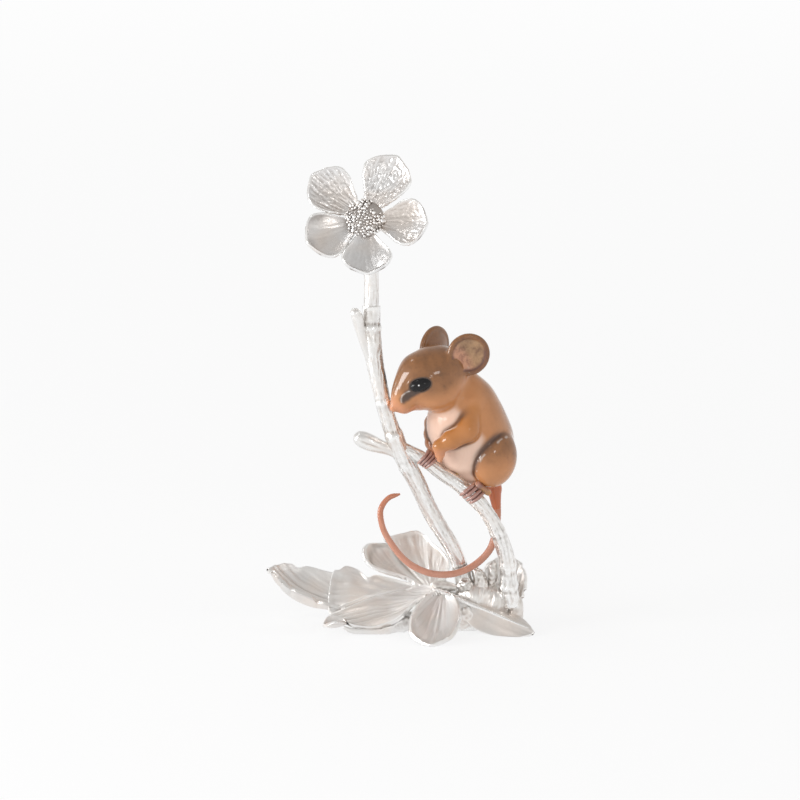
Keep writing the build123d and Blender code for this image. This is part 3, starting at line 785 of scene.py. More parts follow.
# %% Back leaf and upright leaf
back_strips = (
    (0, 0.15, 0.01, -0.01, 0.15, 0.01), (0.2, 0.55, 0.02, -0.03, 0.45, 0.02),
    (0.4, 1.4, 0.06, -0.05, 0.62, 0.04), (0.6, 1.55, 0.09, -0.06, 0.52, 0.05),
    (0.78, 1.3, 0.1, -0.04, 0.32, 0.03), (0.92, 0.9, 0.08, 0, 0.24, 0.03),
    (1, 0.62, 0.06, 0.03, 0.2, 0.035),
)
back_hem = ((0, 0), (0.4, 1.4), (0.65, 1.8), (0.78, 0.8), (0.9, 0.2), (1, 0.1))
back_leaf = leaf(
    "back_leaf", (-7, 3, 10.5), 105, 35, 22.8, 24, LEAF_THICK, back_strips, (0.08, 0.2), 66,
    blade_relief(4, ((2.0, 0.2, 1.0), (9.5, -0.55, 0.8), (13.5, 0.2, 0.9), (-3.2, 0.2, 0.8)),
                 0.03, 0.2, 0.8, lambda u, v, across, rim: curled_rim(u, v, rim, 1, back_hem, 1.6)),
    notched((1, 0.83, 0.04, 0.4)),
)
finish_silver(back_leaf, painted_light_back_silver, 0.22, "back_leaf")

upright_strips = (
    (0, 0.5, 0.03, 0, 0.4, 0.03), (0.3, 1, 0.08, -0.02, 0.8, 0.06),
    (0.6, 1, 0.1, -0.02, 0.9, 0.08), (0.85, 0.65, 0.08, 0, 0.65, 0.06),
    (1, 0.28, 0.05, 0.03, 0.3, 0.05),
)
upright_veins = ((0.0, 0.4, 0.6), (3.4, 0.3, 0.6), (-3.6, -0.6, 0.6), (-5.4, 0.4, 0.7))
upright_leaf = leaf(
    "upright_leaf", (14.5, 3, 3), 80, 65, 18, 14, LEAF_THICK, upright_strips, (0.08, 0.2), 56,
    blade_relief(5, upright_veins, 0.1, 0.45),
)
finish_silver(upright_leaf, leaf_silver, 0.22, "upright_leaf")

# %% [markdown]
# The trailing leaf is creased along its midrib like a folded card. A thin bar along its upper
# edge is the ridge; after the hollows have been measured it is marked as fully rubbed metal,
# whose brighter colour is partly real wear and partly a painted highlight along the ridge.

# %% Trailing leaf
trailing_strips = (
    (0, 0.3, 0.0, 0.02, 0.3, -0.03), (0.2, 0.7, 0.03, 0.02, 0.44, -0.08),
    (0.38, 0.85, 0.04, 0.02, 0.46, -0.18), (0.6, 0.93, 0.042, 0.02, 0.46, -0.185),
    (0.8, 0.75, 0.03, 0.015, 0.42, -0.13), (1, 0.4, 0.0, 0.0, 0.3, -0.05),
)
trailing_leaf = leaf(
    "trailing_leaf", (-3, -3, 11.5), -15.9, -20.1, 29.9, 12, 1.6, trailing_strips, (0.08, 0.18), 64,
    blade_relief(6, ((0.0, 0.35, 0.3), (-1.8, 0.16, 0.4), (2.6, 0.16, 0.5)), 0.1, 0.14, 0.4),
    lip=(0.1, 0.7), thin=0.5, fold=1.0,
)
trailing_ridge = bar(
    "trailing_ridge",
    ((-6.6, -3.8, 13.0), (-3.3, -4.5, 12.0), (1.0, -5.3, 10.2), (4.2, -5.8, 8.8),
     (8.6, -6.6, 7.3), (14.8, -8.2, 5.0), (19.5, -9.4, 3.3), (22.2, -10.1, 2.4)), 1.0,
    ((0, 0.35), (0.08, 0.55), (0.25, 0.74), (0.5, 0.56), (0.75, 0.4), (1, 0.16)),
    (0, 1, 0), 28, 160, grit(0.07, 1, 0.4, 0.9, 75),
)
leaf_count = len(trailing_leaf.data.vertices)
join(trailing_leaf, trailing_ridge)
finish_silver(trailing_leaf, leaf_silver, 0.25, "trailing_leaf")
# Every vertex of the ridge bar is set to full rubbed silver: real wear, and a painted highlight
# along the ridge.
painted_ridge_highlight = trailing_leaf.data.attributes["ridge"].data
for spot in range(leaf_count, len(painted_ridge_highlight)):
    painted_ridge_highlight[spot].value = 1.0

# %% [markdown]
# ## Stems
# A stem is a bent bar with bark: long grooves, a few swollen rings where a leaf once sat, and a
# torn collar at the top.

# %% Stem, stalk and branch
stem = bar(
    "main_stem",
    ((4.8, 0, 5), (0.6, -1, 22.1), (-7.2, -2.4, 36.6), (-11.7, -3.2, 46.6), (-16.5, -3.8, 56.1),
     (-19.2, -4, 63.4), (-21.4, -4, 70.9), (-23, -3.4, 78.2), (-24.5, -2.2, 86.3),
     (-25.1, -0.6, 95.9), (-25.1, 0, 100)), 2.55,
    ((0, 1.25), (0.06, 1.1), (0.16, 0.94), (0.3, 1.0), (0.45, 1.04), (0.56, 1.12), (0.66, 0.94),
     (0.78, 0.96), (0.88, 1.1), (0.955, 1.06), (1, 1.08)), (1, 0, 0), 64, 300,
    bark(11, ((0.13, 0.9, 1.6), (0.5, 1.2, 0.6), (0.6, 1.3, 0.9), (0.71, 0.8, 0.5),
              (0.93, 1.0, 0.9))),
)
finish_silver(stem, stem_silver, 0.1, "main_stem")

stalk = bar(
    "flower_stalk",
    ((-25.1, 0, 96), (-25.1, 0, 100), (-25.1, 0, 109.3), (-26.3, 0, 121.2), (-26.8, -4.56, 127.3)),
    2.2, ((0, 1.02), (0.3, 1), (0.75, 1.02), (1, 1.04)), (1, 0, 0), 56, 120,
    bark(17, ((0.62, 0.8, 0.5),), 0.12, 0.08),
)
finish_silver(stalk, stem_silver, 0.1, "flower_stalk")

branch_points = (
    (-16.9, -3.9, 57.5), (-8.7, -4.2, 53), (-3.9, -5, 49.5), (0.9, -6, 46.3), (4.5, -6.8, 43.4),
    (7.5, -7, 40.5), (10.5, -6.8, 36.3), (12.6, -6.2, 32.1), (14.4, -5.4, 27.2), (15.6, -4.6, 22.4),
    (16.2, -3.6, 15.9), (16.7, -3, 10.6), (16.9, -2.6, 7.4),
)
branch = bar(
    "side_branch", branch_points, 2.35,
    ((0, 0.85), (0.12, 0.88), (0.25, 0.9), (0.4, 0.98), (0.55, 0.95), (0.7, 1.04), (0.85, 1.15),
     (1, 1.2)), (0, -1, 0), 64, 260,
    bark(23, ((0.62, 1.1, 0.7), (0.8, 1.6, 1.1), (0.9, 1.0, 0.9)), 0.2, 0.2),
)
finish_silver(branch, stem_silver, 0.1, "side_branch")

# %% [markdown]
# ## Bract, bud and hub
# Three small castings hide the solder: a sliver of sheath that has come away from the stem, a
# flat bud with a seam down its middle, and the lumpy boss that all the leaf roots run into.

# %% Bract and bud
bract = bar(
    "stem_bract",
    ((-23.1, -3.3, 79.2), (-26.3, -3.3, 86.6), (-28.2, -3.3, 93.0), (-29.6, -3.5, 98.0),
     (-30.6, -3.8, 100.2)), 1.35,
    ((0, 0.9), (0.4, 1.0), (0.7, 1.15), (0.9, 1.2), (0.97, 0.85), (1, 0.2)), (1, 0, 0), 40, 110,
    grit(0.1, 0.8, 0.15, 1.0, 31),
)
finish_silver(bract, stem_silver, 0.14, "stem_bract")

bud_grit = grit(0.08, 0.8, 0.2, 1.0, 37)


def bud_relief(angle, share, along, spot):
    reach = np.clip((share - 0.35) * 4, 0, 1) * np.clip((0.93 - share) * 8, 0, 1)
    seam = bell((angle - math.pi) * 2.2, 0.35) * reach
    return -0.3 * seam + bud_grit(angle, share, along, spot)


bud = bar(
    "bud_twig", ((-15.7, -3.7, 54.5), (-20.5, -3.9, 56.6), (-25.5, -4, 58.6), (-30.4, -4, 60.8)),
    2.3, ((0, 0.75), (0.3, 0.72), (0.5, 0.95), (0.72, 1.12), (0.88, 0.98), (0.96, 0.66), (1, 0.15)),
    (0, 1, 0), 56, 120, bud_relief,
)
finish_silver(bud, stem_silver, 0.14, "bud_twig")

# %% [markdown]
# The hub is a stack of ovals on its flat rest face. A mound of bark lies on top of it, and lumps
# of solder fill the gaps between the leaf roots.

# %% Hub
HUB_HALF_LONG, HUB_HALF_DEEP, HUB_HIGH, HUB_MIDDLE_Y, HUB_SHIFT = 15.5, 6.5, 11, 1.5, 4.5
HUB_ROWS = 44
hub_rings = (
    (0, 0, 1, 1), (0.3, 0.65, 0.94, 0.95), (0.55, 0.0, 0.66, 0.82), (0.8, -0.55, 0.42, 0.62),
    (1, -0.8, 0.25, 0.38),
)
hub, x, y = flat_grid("hub", 96, HUB_ROWS)
angle = (x + 1) * math.pi
row = np.rint((y + 1) / 2 * HUB_ROWS)
up = np.clip((row - 1) / (HUB_ROWS - 2), 0, 1)
shift, long_half, deep_half = read_rows(up, hub_rings)
right = np.cos(angle) * (HUB_HALF_LONG * long_half)
away = np.sin(angle) * (HUB_HALF_DEEP * deep_half)
lumps = np.stack([right, away, up * HUB_HIGH], axis=1)
rough = 0.05 * ripple(lumps, 0.35, 41) + 0.03 * ripple(lumps, 0.9, 42) - 0.03
swell = (1 + np.clip(up * 6, 0, 1) * rough) * np.where((row == 0) | (row == HUB_ROWS), 0.0, 1.0)
places = [HUB_SHIFT * shift + right * swell, HUB_MIDDLE_Y + away * swell, up * HUB_HIGH]
move_vertices(hub, np.stack(places, axis=1) * MM)
weld(hub)
clods = (
    ((3.2, -2.8, 14.2), (2.1, 1.7, 1.8), 0.0, 0.5),
    ((-3.2, -1.8, 13.2), (4.2, 1.5, 1.5), 0.12, 0.2),
    ((2.6, -6.0, 4.4), (2.9, 1.8, 3.4), 0.3, 0.3),
    ((7.6, -1.6, 15.0), (2.0, 1.7, 3.6), -0.35, 0.5),
    ((11.6, -0.6, 16.6), (1.6, 1.6, 4.4), 0.1, 0.3),
    ((18.6, -2.6, 5.4), (2.2, 2.0, 5.0), 0.05, 0.2),
)


def mound_relief(angle, share, along, spot):
    """Bark that has run down into the solder: steep ridges across the mound, and pits."""
    flow = stretched(spot, along, 0.22, 0.75)
    found = 0.5 * ripple(flow, 0.6, 77) + 0.16 * np.clip(cracks(flow, 0.8, 78, 3), -1, 1)
    return (found + 0.1 * ripple(flow, 2.6, 79)) * np.clip(share * 2.5, 0.2, 1)


mound = bar(
    "hub_mound",
    ((0.5, 0.4, 8.8), (5.0, 0.2, 9.4), (9.5, -0.2, 8.8), (13.5, -0.8, 7.8), (16.5, -1.0, 6.8)), 4.6,
    ((0, 0.6), (0.25, 1.0), (0.6, 1.05), (0.85, 0.9), (1, 0.5)), (0, 1, 0), 72, 150, mound_relief,
)
join(hub, mound, *(clod(*lump, 70 + number) for number, lump in enumerate(clods)))
finish_silver(hub, hub_silver, 0.2, "hub", 0.15)

# %% [markdown]
# ## Flower
# Five petals stand round a low cushion of stamens. The two upper petals are crinkled like foil,
# the three lower ones are smooth cups with a thick bright edge.

# %% Petals
FLOWER_TILT = math.radians(32)
PETAL_LIFT = math.radians(9)
PETAL_LONG, PETAL_WIDE, PETAL_THICK, PETAL_START = 15.2, 14.2, 1.1, 4.4
flower_origin = Vector((-26.8, -6.08, 128.3))
flower_facing = Vector((0, -math.cos(FLOWER_TILT), math.sin(FLOWER_TILT)))
petal_side = Vector((1, 0, 0))
petal_up = flower_facing.cross(petal_side)
petal_strips = (
    (0, 0.32, 0.02, -0.01, 0.32, 0.02), (0.2, 0.56, 0.04, -0.03, 0.56, 0.04),
    (0.45, 0.92, 0.09, -0.03, 0.92, 0.09), (0.66, 1, 0.11, -0.01, 1, 0.11),
    (0.86, 0.78, 0.1, 0.03, 0.78, 0.1), (1, 0.3, 0.1, 0.07, 0.3, 0.1),
)


def petal_relief(seed, crinkle):
    """Relief of a petal: soft folds that run outwards, and foil-like creases."""
    def relief(u, v, across, rim):
        flow = as_points(across / (0.35 + 0.65 * u) * 0.42, u * 1.6)
        folds = 0.22 * ripple(flow, 1.0, seed)
        sharp = np.clip(cracks(flow, 1.7, seed + 2, 2.4), 0, 1)
        foil = np.clip(cracks(as_points(across * 0.5, u * 6.0), 1.5, seed + 5, 2.6), 0, 1)
        creases = crinkle * np.clip(rim, 0.25, 1) * (0.32 * sharp + 0.22 * foil)
        return folds * (0.4 + crinkle) + creases
    return relief


# Each petal: heading, size, crinkle, and how much broad darker cloud it gets. The lower left
# petal's heavy cloud is painted shade; the light clouds of the others are stain.
petals = (
    (63, 1.1, 0.9, 0.05), (-8, 0.95, 0.35, 0.12), (-88, 0.92, 0.15, 0.12), (-153.5, 1, 0.12, 0.6),
    (141.5, 1.07, 0.75, 0.12),
)
for number, (heading, size, crinkle, cloud) in enumerate(petals, start=1):
    turn = math.radians(heading)
    outward = petal_side * math.cos(turn) + petal_up * math.sin(turn)
    lifted = outward * math.cos(PETAL_LIFT) + flower_facing * math.sin(PETAL_LIFT)
    inside = lifted.cross(flower_facing.cross(outward))
    petal = cupped_sheet(
        f"petal_{number}", flower_origin + outward * PETAL_START, lifted, inside, PETAL_LONG * size,
        PETAL_WIDE, PETAL_THICK, petal_strips, (0.06, 0.36), 56, petal_relief(50 + number, crinkle),
        lip=(0.22, 0.6), thin=0.55,
    )
    finish_silver(petal, petal_silver, 0.16, f"petal_{number}", cloud, inside)

# %% [markdown]
# The stamens are one bead, copied round a spiral like the seeds of a sunflower, on a low dome.
# A small patch on the upper right stays bare.

# %% Flower centre
BEADS, SPIRAL_REACH, SEED_TURN = 130, 5.9, math.radians(137.5)
DOME_HIGH, DOME_WIDE = 2.2, 6.2
DOME_FRONT, DOME_BACK = (5.7, 5.7, DOME_HIGH), (5.2, 5.2, 0.5)
BARE_FROM, BARE_START, BARE_END = 3.3, 0.25, 1.2
facing_frame = np.array(Matrix((petal_side, petal_up, flower_facing)))
centre = name_piece(unit_ball(48, 24), "flower_centre")
dome = vertex_places(centre)
dome = dome * np.where(dome[:, 2:] > 0, [DOME_FRONT], [DOME_BACK])
move_vertices(centre, (dome @ facing_frame + np.array(flower_origin)) * MM)
bpy.ops.mesh.primitive_ico_sphere_add(subdivisions=2, radius=1)
model_bead = active()
bead_shape = vertex_places(model_bead)
beads = []
for count in range(BEADS):
    reach = SPIRAL_REACH * math.sqrt((count + 0.5) / BEADS)
    turn = count * SEED_TURN
    if reach > BARE_FROM and BARE_START < turn % (2 * math.pi) < BARE_END:
        continue
    reach = reach + 0.45 * noise.noise(Vector((count * 0.9, 7.3, 2.2)))
    turn = turn + 0.5 / (reach + 0.5) * noise.noise(Vector((count * 1.1, 2.9, 8.4)))
    height = DOME_HIGH * math.sqrt(max(0.0, 1 - (reach / DOME_WIDE) ** 2))
    height = height + 0.5 * noise.noise(Vector((count, 1.7, 5.1)))
    size = 0.46 + 0.4 * noise.noise(Vector((count * 1.3, 3.1, 0.2)))
    spot = Vector((math.cos(turn) * reach, math.sin(turn) * reach, height + 0.12))
    bead = bpy.data.objects.new("bead", model_bead.data.copy())
    bpy.context.scene.collection.objects.link(bead)
    shape = bead_shape * [size, size, size * 1.25] + np.array(spot)
    move_vertices(bead, (shape @ facing_frame + np.array(flower_origin)) * MM)
    beads.append(bead)
bpy.data.objects.remove(model_bead)
join(centre, *beads)
name_piece(centre, "flower_centre_cast")
shape = (vertex_places(centre) / MM - np.array(flower_origin)) @ facing_frame.T
out = np.sqrt(shape[:, 0] ** 2 + shape[:, 1] ** 2)
over_dome = shape[:, 2] - DOME_HIGH * np.sqrt(np.clip(1 - (out / DOME_WIDE) ** 2, 0.02, 1))
store(centre, "hollow", np.clip(0.6 - over_dome / 0.7, 0, 0.55))
store(centre, "ridge", np.clip(over_dome / 0.6 - 0.6, 0, 1))
seat(centre, petal_silver, "silver", "flower_centre")

calyx = bar(
    "calyx", [flower_origin + flower_facing * d for d in (-4.1, -2.4, -0.6, -0.4)], 5.2,
    ((0, 0.46), (0.45, 0.66), (0.93, 0.98), (1, 0.9)), (1, 0, 0), 60, 30,
    lambda angle, share, along, spot: 0.22 * np.cos(angle * 10) * share,
)
finish_silver(calyx, petal_silver, 0.2, "calyx")

# %% [markdown]
# ## Mouse
# The mouse is one smooth cast skin: head, body, thighs, forelegs and ears flow into each other,
# with sharp folds only where a limb lies against the belly. Simple balls and bent discs are set
# where the solids are, melted together with a voxel remesh, and then every vertex is pulled onto
# a surface described in numbers, as a modeller pares clay down to a template.

# %% Mouse frame
MOUSE_TURN = math.radians(30)
mouse_origin = np.array((4.9, 3, 50.0))
mouse_axes = np.array([
    [-math.cos(MOUSE_TURN), -math.sin(MOUSE_TURN), 0],
    [math.sin(MOUSE_TURN), -math.cos(MOUSE_TURN), 0],
    [0, 0, 1],
])
nose_tip = np.array((26.13, -2.23, 20.4))
head_way = np.array((0.8954, -0.0783, -0.4384))
head_left = np.array((0.0872, 0.9962, 0))
head_up = np.array((0.4367, -0.0382, 0.8988))


def on_mouse(place):
    """A place in millimetres, from forward, left and up of the mouse's own middle."""
    return mouse_origin + np.asarray(place, float) @ mouse_axes


def on_head(back, up, left):
    """A place on the mouse from back, up and left of the tip of its nose."""
    return nose_tip - head_way * back + head_up * up + head_left * left


print("nose at", np.round(on_mouse(nose_tip), 1))

# %% [markdown]
# A surface can be described by how far any point lies from it. Bars, balls and stacks of ovals
# have simple rules for that, and two shapes are joined by blending their distances, which leaves
# a fillet like the stroke of a modelling tool.

# %% Shapes described in numbers
def length_of(rows):
    return np.sqrt((rows**2).sum(-1))


def cone_gap(p, start, end, start_size=0.0, end_size=0.0):
    """Distance to a round bar whose radius changes from one end to the other."""
    start, end = np.asarray(start, float), np.asarray(end, float)
    way = end - start
    share = np.clip((p - start) @ way / way.dot(way), 0, 1)
    far = length_of(p - start - share[:, None] * way)
    return far - start_size - (end_size - start_size) * share


def oval_gap(p, middle, axes, sizes):
    """Distance to an ellipsoid with its own axes and half sizes."""
    q = (p - middle) @ np.asarray(axes, float).T
    sizes = np.asarray(sizes, float)
    near = length_of(q / sizes)
    return near * (near - 1) / np.maximum(length_of(q / sizes**2), 1e-6)


def stack_gap(p, base, axes, half_x, half_y, length, rows):
    """Distance to a stack of ovals: each row is a place, a shift, and two half sizes."""
    x, y, z = ((p - base) @ axis for axis in axes)
    first, last = rows[0][0], rows[-1][0]
    share = z / length
    shift, wide, deep = read_rows(np.clip(share, first, last), rows)
    wide, deep = np.maximum(wide * half_x, 0.3), np.maximum(deep * half_y, 0.3)
    x = x - shift * half_x
    near = np.sqrt((x / wide) ** 2 + (y / deep) ** 2)
    slope = np.sqrt((x / wide**2) ** 2 + (y / deep**2) ** 2)
    side = near * (near - 1) / np.maximum(slope, 1e-6)
    past = np.maximum(first - share, share - last) * length
    outside = np.sqrt(np.maximum(side, 0) ** 2 + np.maximum(past, 0) ** 2)
    return np.where(past > 0, outside, side)


def melt(first, second, soft):
    """Two shapes joined with a fillet of about this size."""
    share = np.clip(0.5 + 0.5 * (second - first) / soft, 0, 1)
    return second * (1 - share) + first * share - soft * share * (1 - share)


print("shape measures ready")

# %% [markdown]
# The body and the head use the same stacks of ovals as their solids. On top of these come the
# cheeks, the whisker pads, the chin, the lids round the eyes and the bent forelegs.

# %% Mouse sizes
BODY_LONG, BODY_HALF_DEEP, BODY_HALF_WIDE = 36, 13.5, 11.5
HEAD_LONG, HEAD_HALF_HIGH, HEAD_HALF_WIDE = 28.5, 10, 8.4
EAR_BALL, EAR_BALL_AWAY, EAR_RADIUS, EAR_HALF_THICK = 13.65, 11.26, 6.4, 0.55
EAR_ROLL_OUT, EAR_ROLL_BACK, EAR_ROLL_SIZE = 5.72, 1.15, 0.8
EYE_SIZES = (3.25, 2.02, 1.75)
THIGH_SIZES = (8.4, 5.0, 7.0)
body_rows = (
    (-0.16, -0.4, 0.26, 0.3), (-0.08, -0.26, 0.63, 0.74), (0, -0.12, 0.85, 0.87),
    (0.14, -0.05, 0.95, 0.98), (0.28, 0.03, 0.98, 1.02), (0.42, 0.11, 0.91, 0.97),
    (0.55, 0.15, 0.78, 0.84), (0.69, 0.2, 0.59, 0.62), (0.8, 0.24, 0.3, 0.35),
)
head_rows = (
    (0, 0, 0.1, 0.1), (0.084, 0.05, 0.4, 0.36), (0.21, 0.2, 0.62, 0.55), (0.37, 0.19, 0.92, 0.85),
    (0.53, 0.085, 1.025, 1), (0.68, 0.085, 0.935, 0.98), (0.84, 0.12, 0.62, 0.74),
    (0.95, 0.05, 0.2, 0.25),
)
tail_root = (
    ((-4.6, 0.8, -2.6), (-6.6, 2.6, -8.0), 4.0, 2.2),
    ((-6.6, 2.6, -8.0), (-6.5, 4.2, -14.0), 2.2, 1.25),
)
ankle = ((1.2, 5.8, -2.0), (5.5, 3.4, -1.6), 3.0, 2.3)
mouth = (
    ((0.6, -1.0, 0.5), (3.6, -1.55, 2.3)), ((3.6, -1.55, 2.3), (6.2, -1.5, 3.3)),
    ((0.6, -1.0, -0.5), (3.6, -1.55, -2.3)),
)
upright = np.eye(3)
thigh_axes = ((-0.287, 0, 0.958), (0, 1, 0), (0.958, 0, 0.287))
arm_routes = {
    1: ((3.4, 6, 20.5), (6.6, 8.9, 13.6), (11.4, 7.4, 10.9), (14.5, 6, 8.9), (14.4, 6, 6.4)),
    -1: ((5, -5.4, 20), (9, -7, 12.4), (10.6, -5.4, 9.6), (11.8, -3.4, 7.4), (12.3, -1.4, 5.4)),
}
arm_sizes = {1: (3.1, 3.7, 2.9, 2.1, 1.5), -1: (2.6, 2.7, 2.3, 1.9, 1.4)}
thigh_places, ear_ways, eye_axes, eye_places = {}, {}, {}, {}
ear_places = {1: np.array((5.02, 7.26, 36.14)), -1: np.array((7.63, -10.67, 35.2))}
for side in (1, -1):
    thigh_places[side] = np.array((-2.7, 9.5 * side, 3.2))
    ear_ways[side] = np.array((math.cos(math.radians(70)), math.sin(math.radians(70)) * side, 0))
    looking = head_left * side + head_up * 0.45 + head_way * 0.35
    looking = looking / np.linalg.norm(looking)
    long_way = head_way + head_up * 0.28
    long_way = long_way - looking * looking.dot(long_way)
    long_way = long_way / np.linalg.norm(long_way)
    eye_axes[side] = (long_way, np.cross(looking, long_way), looking)
    eye_places[side] = on_head(9.4, 4.3, 6.0 * side)
print("eyes at", [np.round(on_mouse(place), 1).tolist() for place in eye_places.values()])

# %% [markdown]
# Each part is measured on its own, so that the paint can later ask how near a point is to a
# thigh, a foreleg or an ear. Wide fillets join the parts on the back, narrow ones keep the folds.

# %% Mouse surface
def arm_bars(side):
    """The stretches of a foreleg, each with its two ends and their radii."""
    route, sizes = arm_routes[side], arm_sizes[side]
    return [(route[row], route[row + 1], sizes[row], sizes[row + 1]) for row in range(4)]


def arm_gap(p, side):
    """Distance to a bent foreleg with four short fingers."""
    arm = np.full(len(p), 1e3)
    for row in arm_bars(side):
        arm = melt(arm, cone_gap(p, *row), 0.8)
    wrist = np.array(arm_routes[side][4])
    for spread in (-1.5, -0.5, 0.5, 1.5):
        base = wrist + (0.2, spread * 0.5, -0.5)
        tip = wrist + (0.1, spread * 0.8, -2.0 + 0.25 * abs(spread))
        arm = melt(arm, cone_gap(p, base, tip, 0.74, 0.58), 0.3)
    return arm


def ear_gap(p, side):
    """Distance to an ear: a thin dish with a rolled rim. Also how far out a point lies."""
    q = p - ear_places[side]
    deep = q @ ear_ways[side]
    flat = length_of(q - deep[:, None] * ear_ways[side])
    dish = np.abs(np.sqrt(flat**2 + (deep - EAR_BALL_AWAY) ** 2) - EAR_BALL)
    dish = dish - EAR_HALF_THICK
    roll = np.sqrt((flat - EAR_ROLL_OUT) ** 2 + (deep + EAR_ROLL_BACK) ** 2) - EAR_ROLL_SIZE
    return melt(np.maximum(dish, flat - 5.9), roll, 0.5), flat, deep


def head_gap(p, eyes):
    """Distance to the head: nose, chin, whisker pads, cheeks, and lids round the eyes."""
    skull = stack_gap(p, nose_tip, (head_up, head_left, -head_way), HEAD_HALF_HIGH,
                      HEAD_HALF_WIDE, HEAD_LONG, head_rows)
    skull = melt(skull, cone_gap(p, on_head(0.45, -0.1, 0), on_head(4.0, 0.5, 0), 1.15, 2.3), 0.8)
    skull = melt(skull, cone_gap(p, on_head(4.2, -1.6, 0), on_head(8, -2.6, 0), 1.3, 2.6), 1.2)
    for side in (1, -1):
        pad = (on_head(5.2, 0.4, 2.1 * side), on_head(6.4, 0.6, 2.6 * side))
        skull = melt(skull, cone_gap(p, *pad, 1.5, 1.4), 1.2)
        cheek = oval_gap(p, on_head(14.5, -2.4, 4.2 * side), upright, (5.5, 4.6, 5.0))
        skull = melt(skull, cheek, 3.0) - 0.2 * bell(eyes[side] - 0.45, 0.5)
    return skull


def measure_mouse(p):
    """Distances from points on the mouse to each of its parts and to the finished skin."""
    parts = {}
    eyes = {side: oval_gap(p, eye_places[side], eye_axes[side], EYE_SIZES) for side in (1, -1)}
    parts["body"] = stack_gap(
        p, np.zeros(3), upright, BODY_HALF_DEEP, BODY_HALF_WIDE, BODY_LONG, body_rows)
    parts["head"] = head_gap(p, eyes)
    parts["root"] = melt(cone_gap(p, *tail_root[0]), cone_gap(p, *tail_root[1]), 0.6)
    skin = melt(parts["body"], parts["head"], 2.2)
    skin = melt(skin, parts["root"], 2.6)
    skin = melt(skin, cone_gap(p, *ankle), 1.2)
    behind = np.clip((-1.0 - p[:, 0] + 0.25 * (4 - p[:, 2])) / 6, 0, 1)
    high = np.clip((p[:, 2] - 18) / 5, 0, 1)
    for side in (1, -1):
        parts["eye", side] = eyes[side]
        parts["thigh", side] = oval_gap(p, thigh_places[side], thigh_axes, THIGH_SIZES)
        parts["arm", side] = arm_gap(p, side)
        parts["ear", side], parts["ear_flat", side], parts["ear_deep", side] = ear_gap(p, side)
        skin = melt(skin, parts["thigh", side], 0.35 + 2.6 * behind)
        skin = melt(skin, parts["arm", side], 0.35 + 2.6 * high)
        skin = melt(skin, parts["ear", side], 1.3)
    lips = np.min([cone_gap(p, on_head(*start), on_head(*end)) for start, end in mouth], axis=0)
    parts["skin"] = skin + 0.28 * bell(lips, 0.4)
    return parts


print("mouse surface ready")

# %% [markdown]
# The rough mouse only has to fill about the right space: a ball for every oval of body and head,
# rows of balls for the limbs and the root of the tail, and a bent disc for each ear.

# %% Rough mouse
ROUGH_DEEP, ROUGH_WIDE, ROUGH_THICK, ROUGH_HEAD_THICK = 13.2, 11.3, 4.2, 3.6


def ball(middle, axes, sizes, around=40):
    """A ball stretched along its own axes; middle and axes are given on the mouse."""
    piece = unit_ball(around, around * 3 // 5)
    local = (vertex_places(piece) * np.array(sizes)) @ np.asarray(axes, float)
    move_vertices(piece, on_mouse(local + np.asarray(middle, float)) * MM)
    return piece


def limb(start, end, start_size, end_size):
    """A row of balls between two places on the mouse."""
    start, end = np.array(start, float), np.array(end, float)
    steps = max(2, int(np.linalg.norm(end - start) / 0.9))
    return [
        ball(start + (end - start) * t, upright, [start_size + (end_size - start_size) * t] * 3)
        for t in np.linspace(0, 1, steps)
    ]


def ear_disc(side):
    """A round disc bent like a shallow dish."""
    disc = unit_ball(48, 24)
    shape = vertex_places(disc)
    flat = EAR_RADIUS * length_of(shape[:, :2])
    deep = EAR_BALL_AWAY - np.sqrt(EAR_BALL**2 - flat**2) + 0.75 * shape[:, 2]
    local = (ear_places[side] + np.outer(deep, ear_ways[side])
             + np.outer(shape[:, 0] * EAR_RADIUS, np.cross(upright[2], ear_ways[side]))
             + np.outer(shape[:, 1] * EAR_RADIUS, upright[2]))
    move_vertices(disc, on_mouse(local) * MM)
    return disc


rough = [
    ball((shift * BODY_HALF_DEEP, 0, place * BODY_LONG), upright,
         (wide * ROUGH_DEEP, deep * ROUGH_WIDE, ROUGH_THICK))
    for place, shift, wide, deep in body_rows[1:-1]
] + [
    ball(on_head(place * HEAD_LONG, shift * HEAD_HALF_HIGH, 0), (head_up, head_left, head_way),
         (wide * HEAD_HALF_HIGH, deep * HEAD_HALF_WIDE, ROUGH_HEAD_THICK))
    for place, shift, wide, deep in head_rows[1:]
]
for row in ((on_head(1.1, -0.1, 0), on_head(8, -0.6, 0), 1.3, 4.0), *tail_root, ankle):
    rough += limb(*row)
for side in (1, -1):
    rough.append(ball(thigh_places[side], thigh_axes, THIGH_SIZES))
    for row in arm_bars(side):
        rough += limb(*row)
    paw = np.array(arm_routes[side][4])
    rough += limb(paw, paw + (-0.1, 0, -2.4), 1.4, 1.0)
    rough.append(ear_disc(side))
print("rough mouse:", len(rough), "balls")

# %% [markdown]
# The balls are melted into one mesh. In each round the mesh is evened out a little and every
# vertex then moves down its own slope to the surface; the last two rounds only move.

# %% Mouse skin
VOXEL, ROUNDS, SLOPE_STEP, LONGEST_MOVE = 0.32, 14, 0.04, 0.6


def skin_gap(p):
    return measure_mouse(p)["skin"]


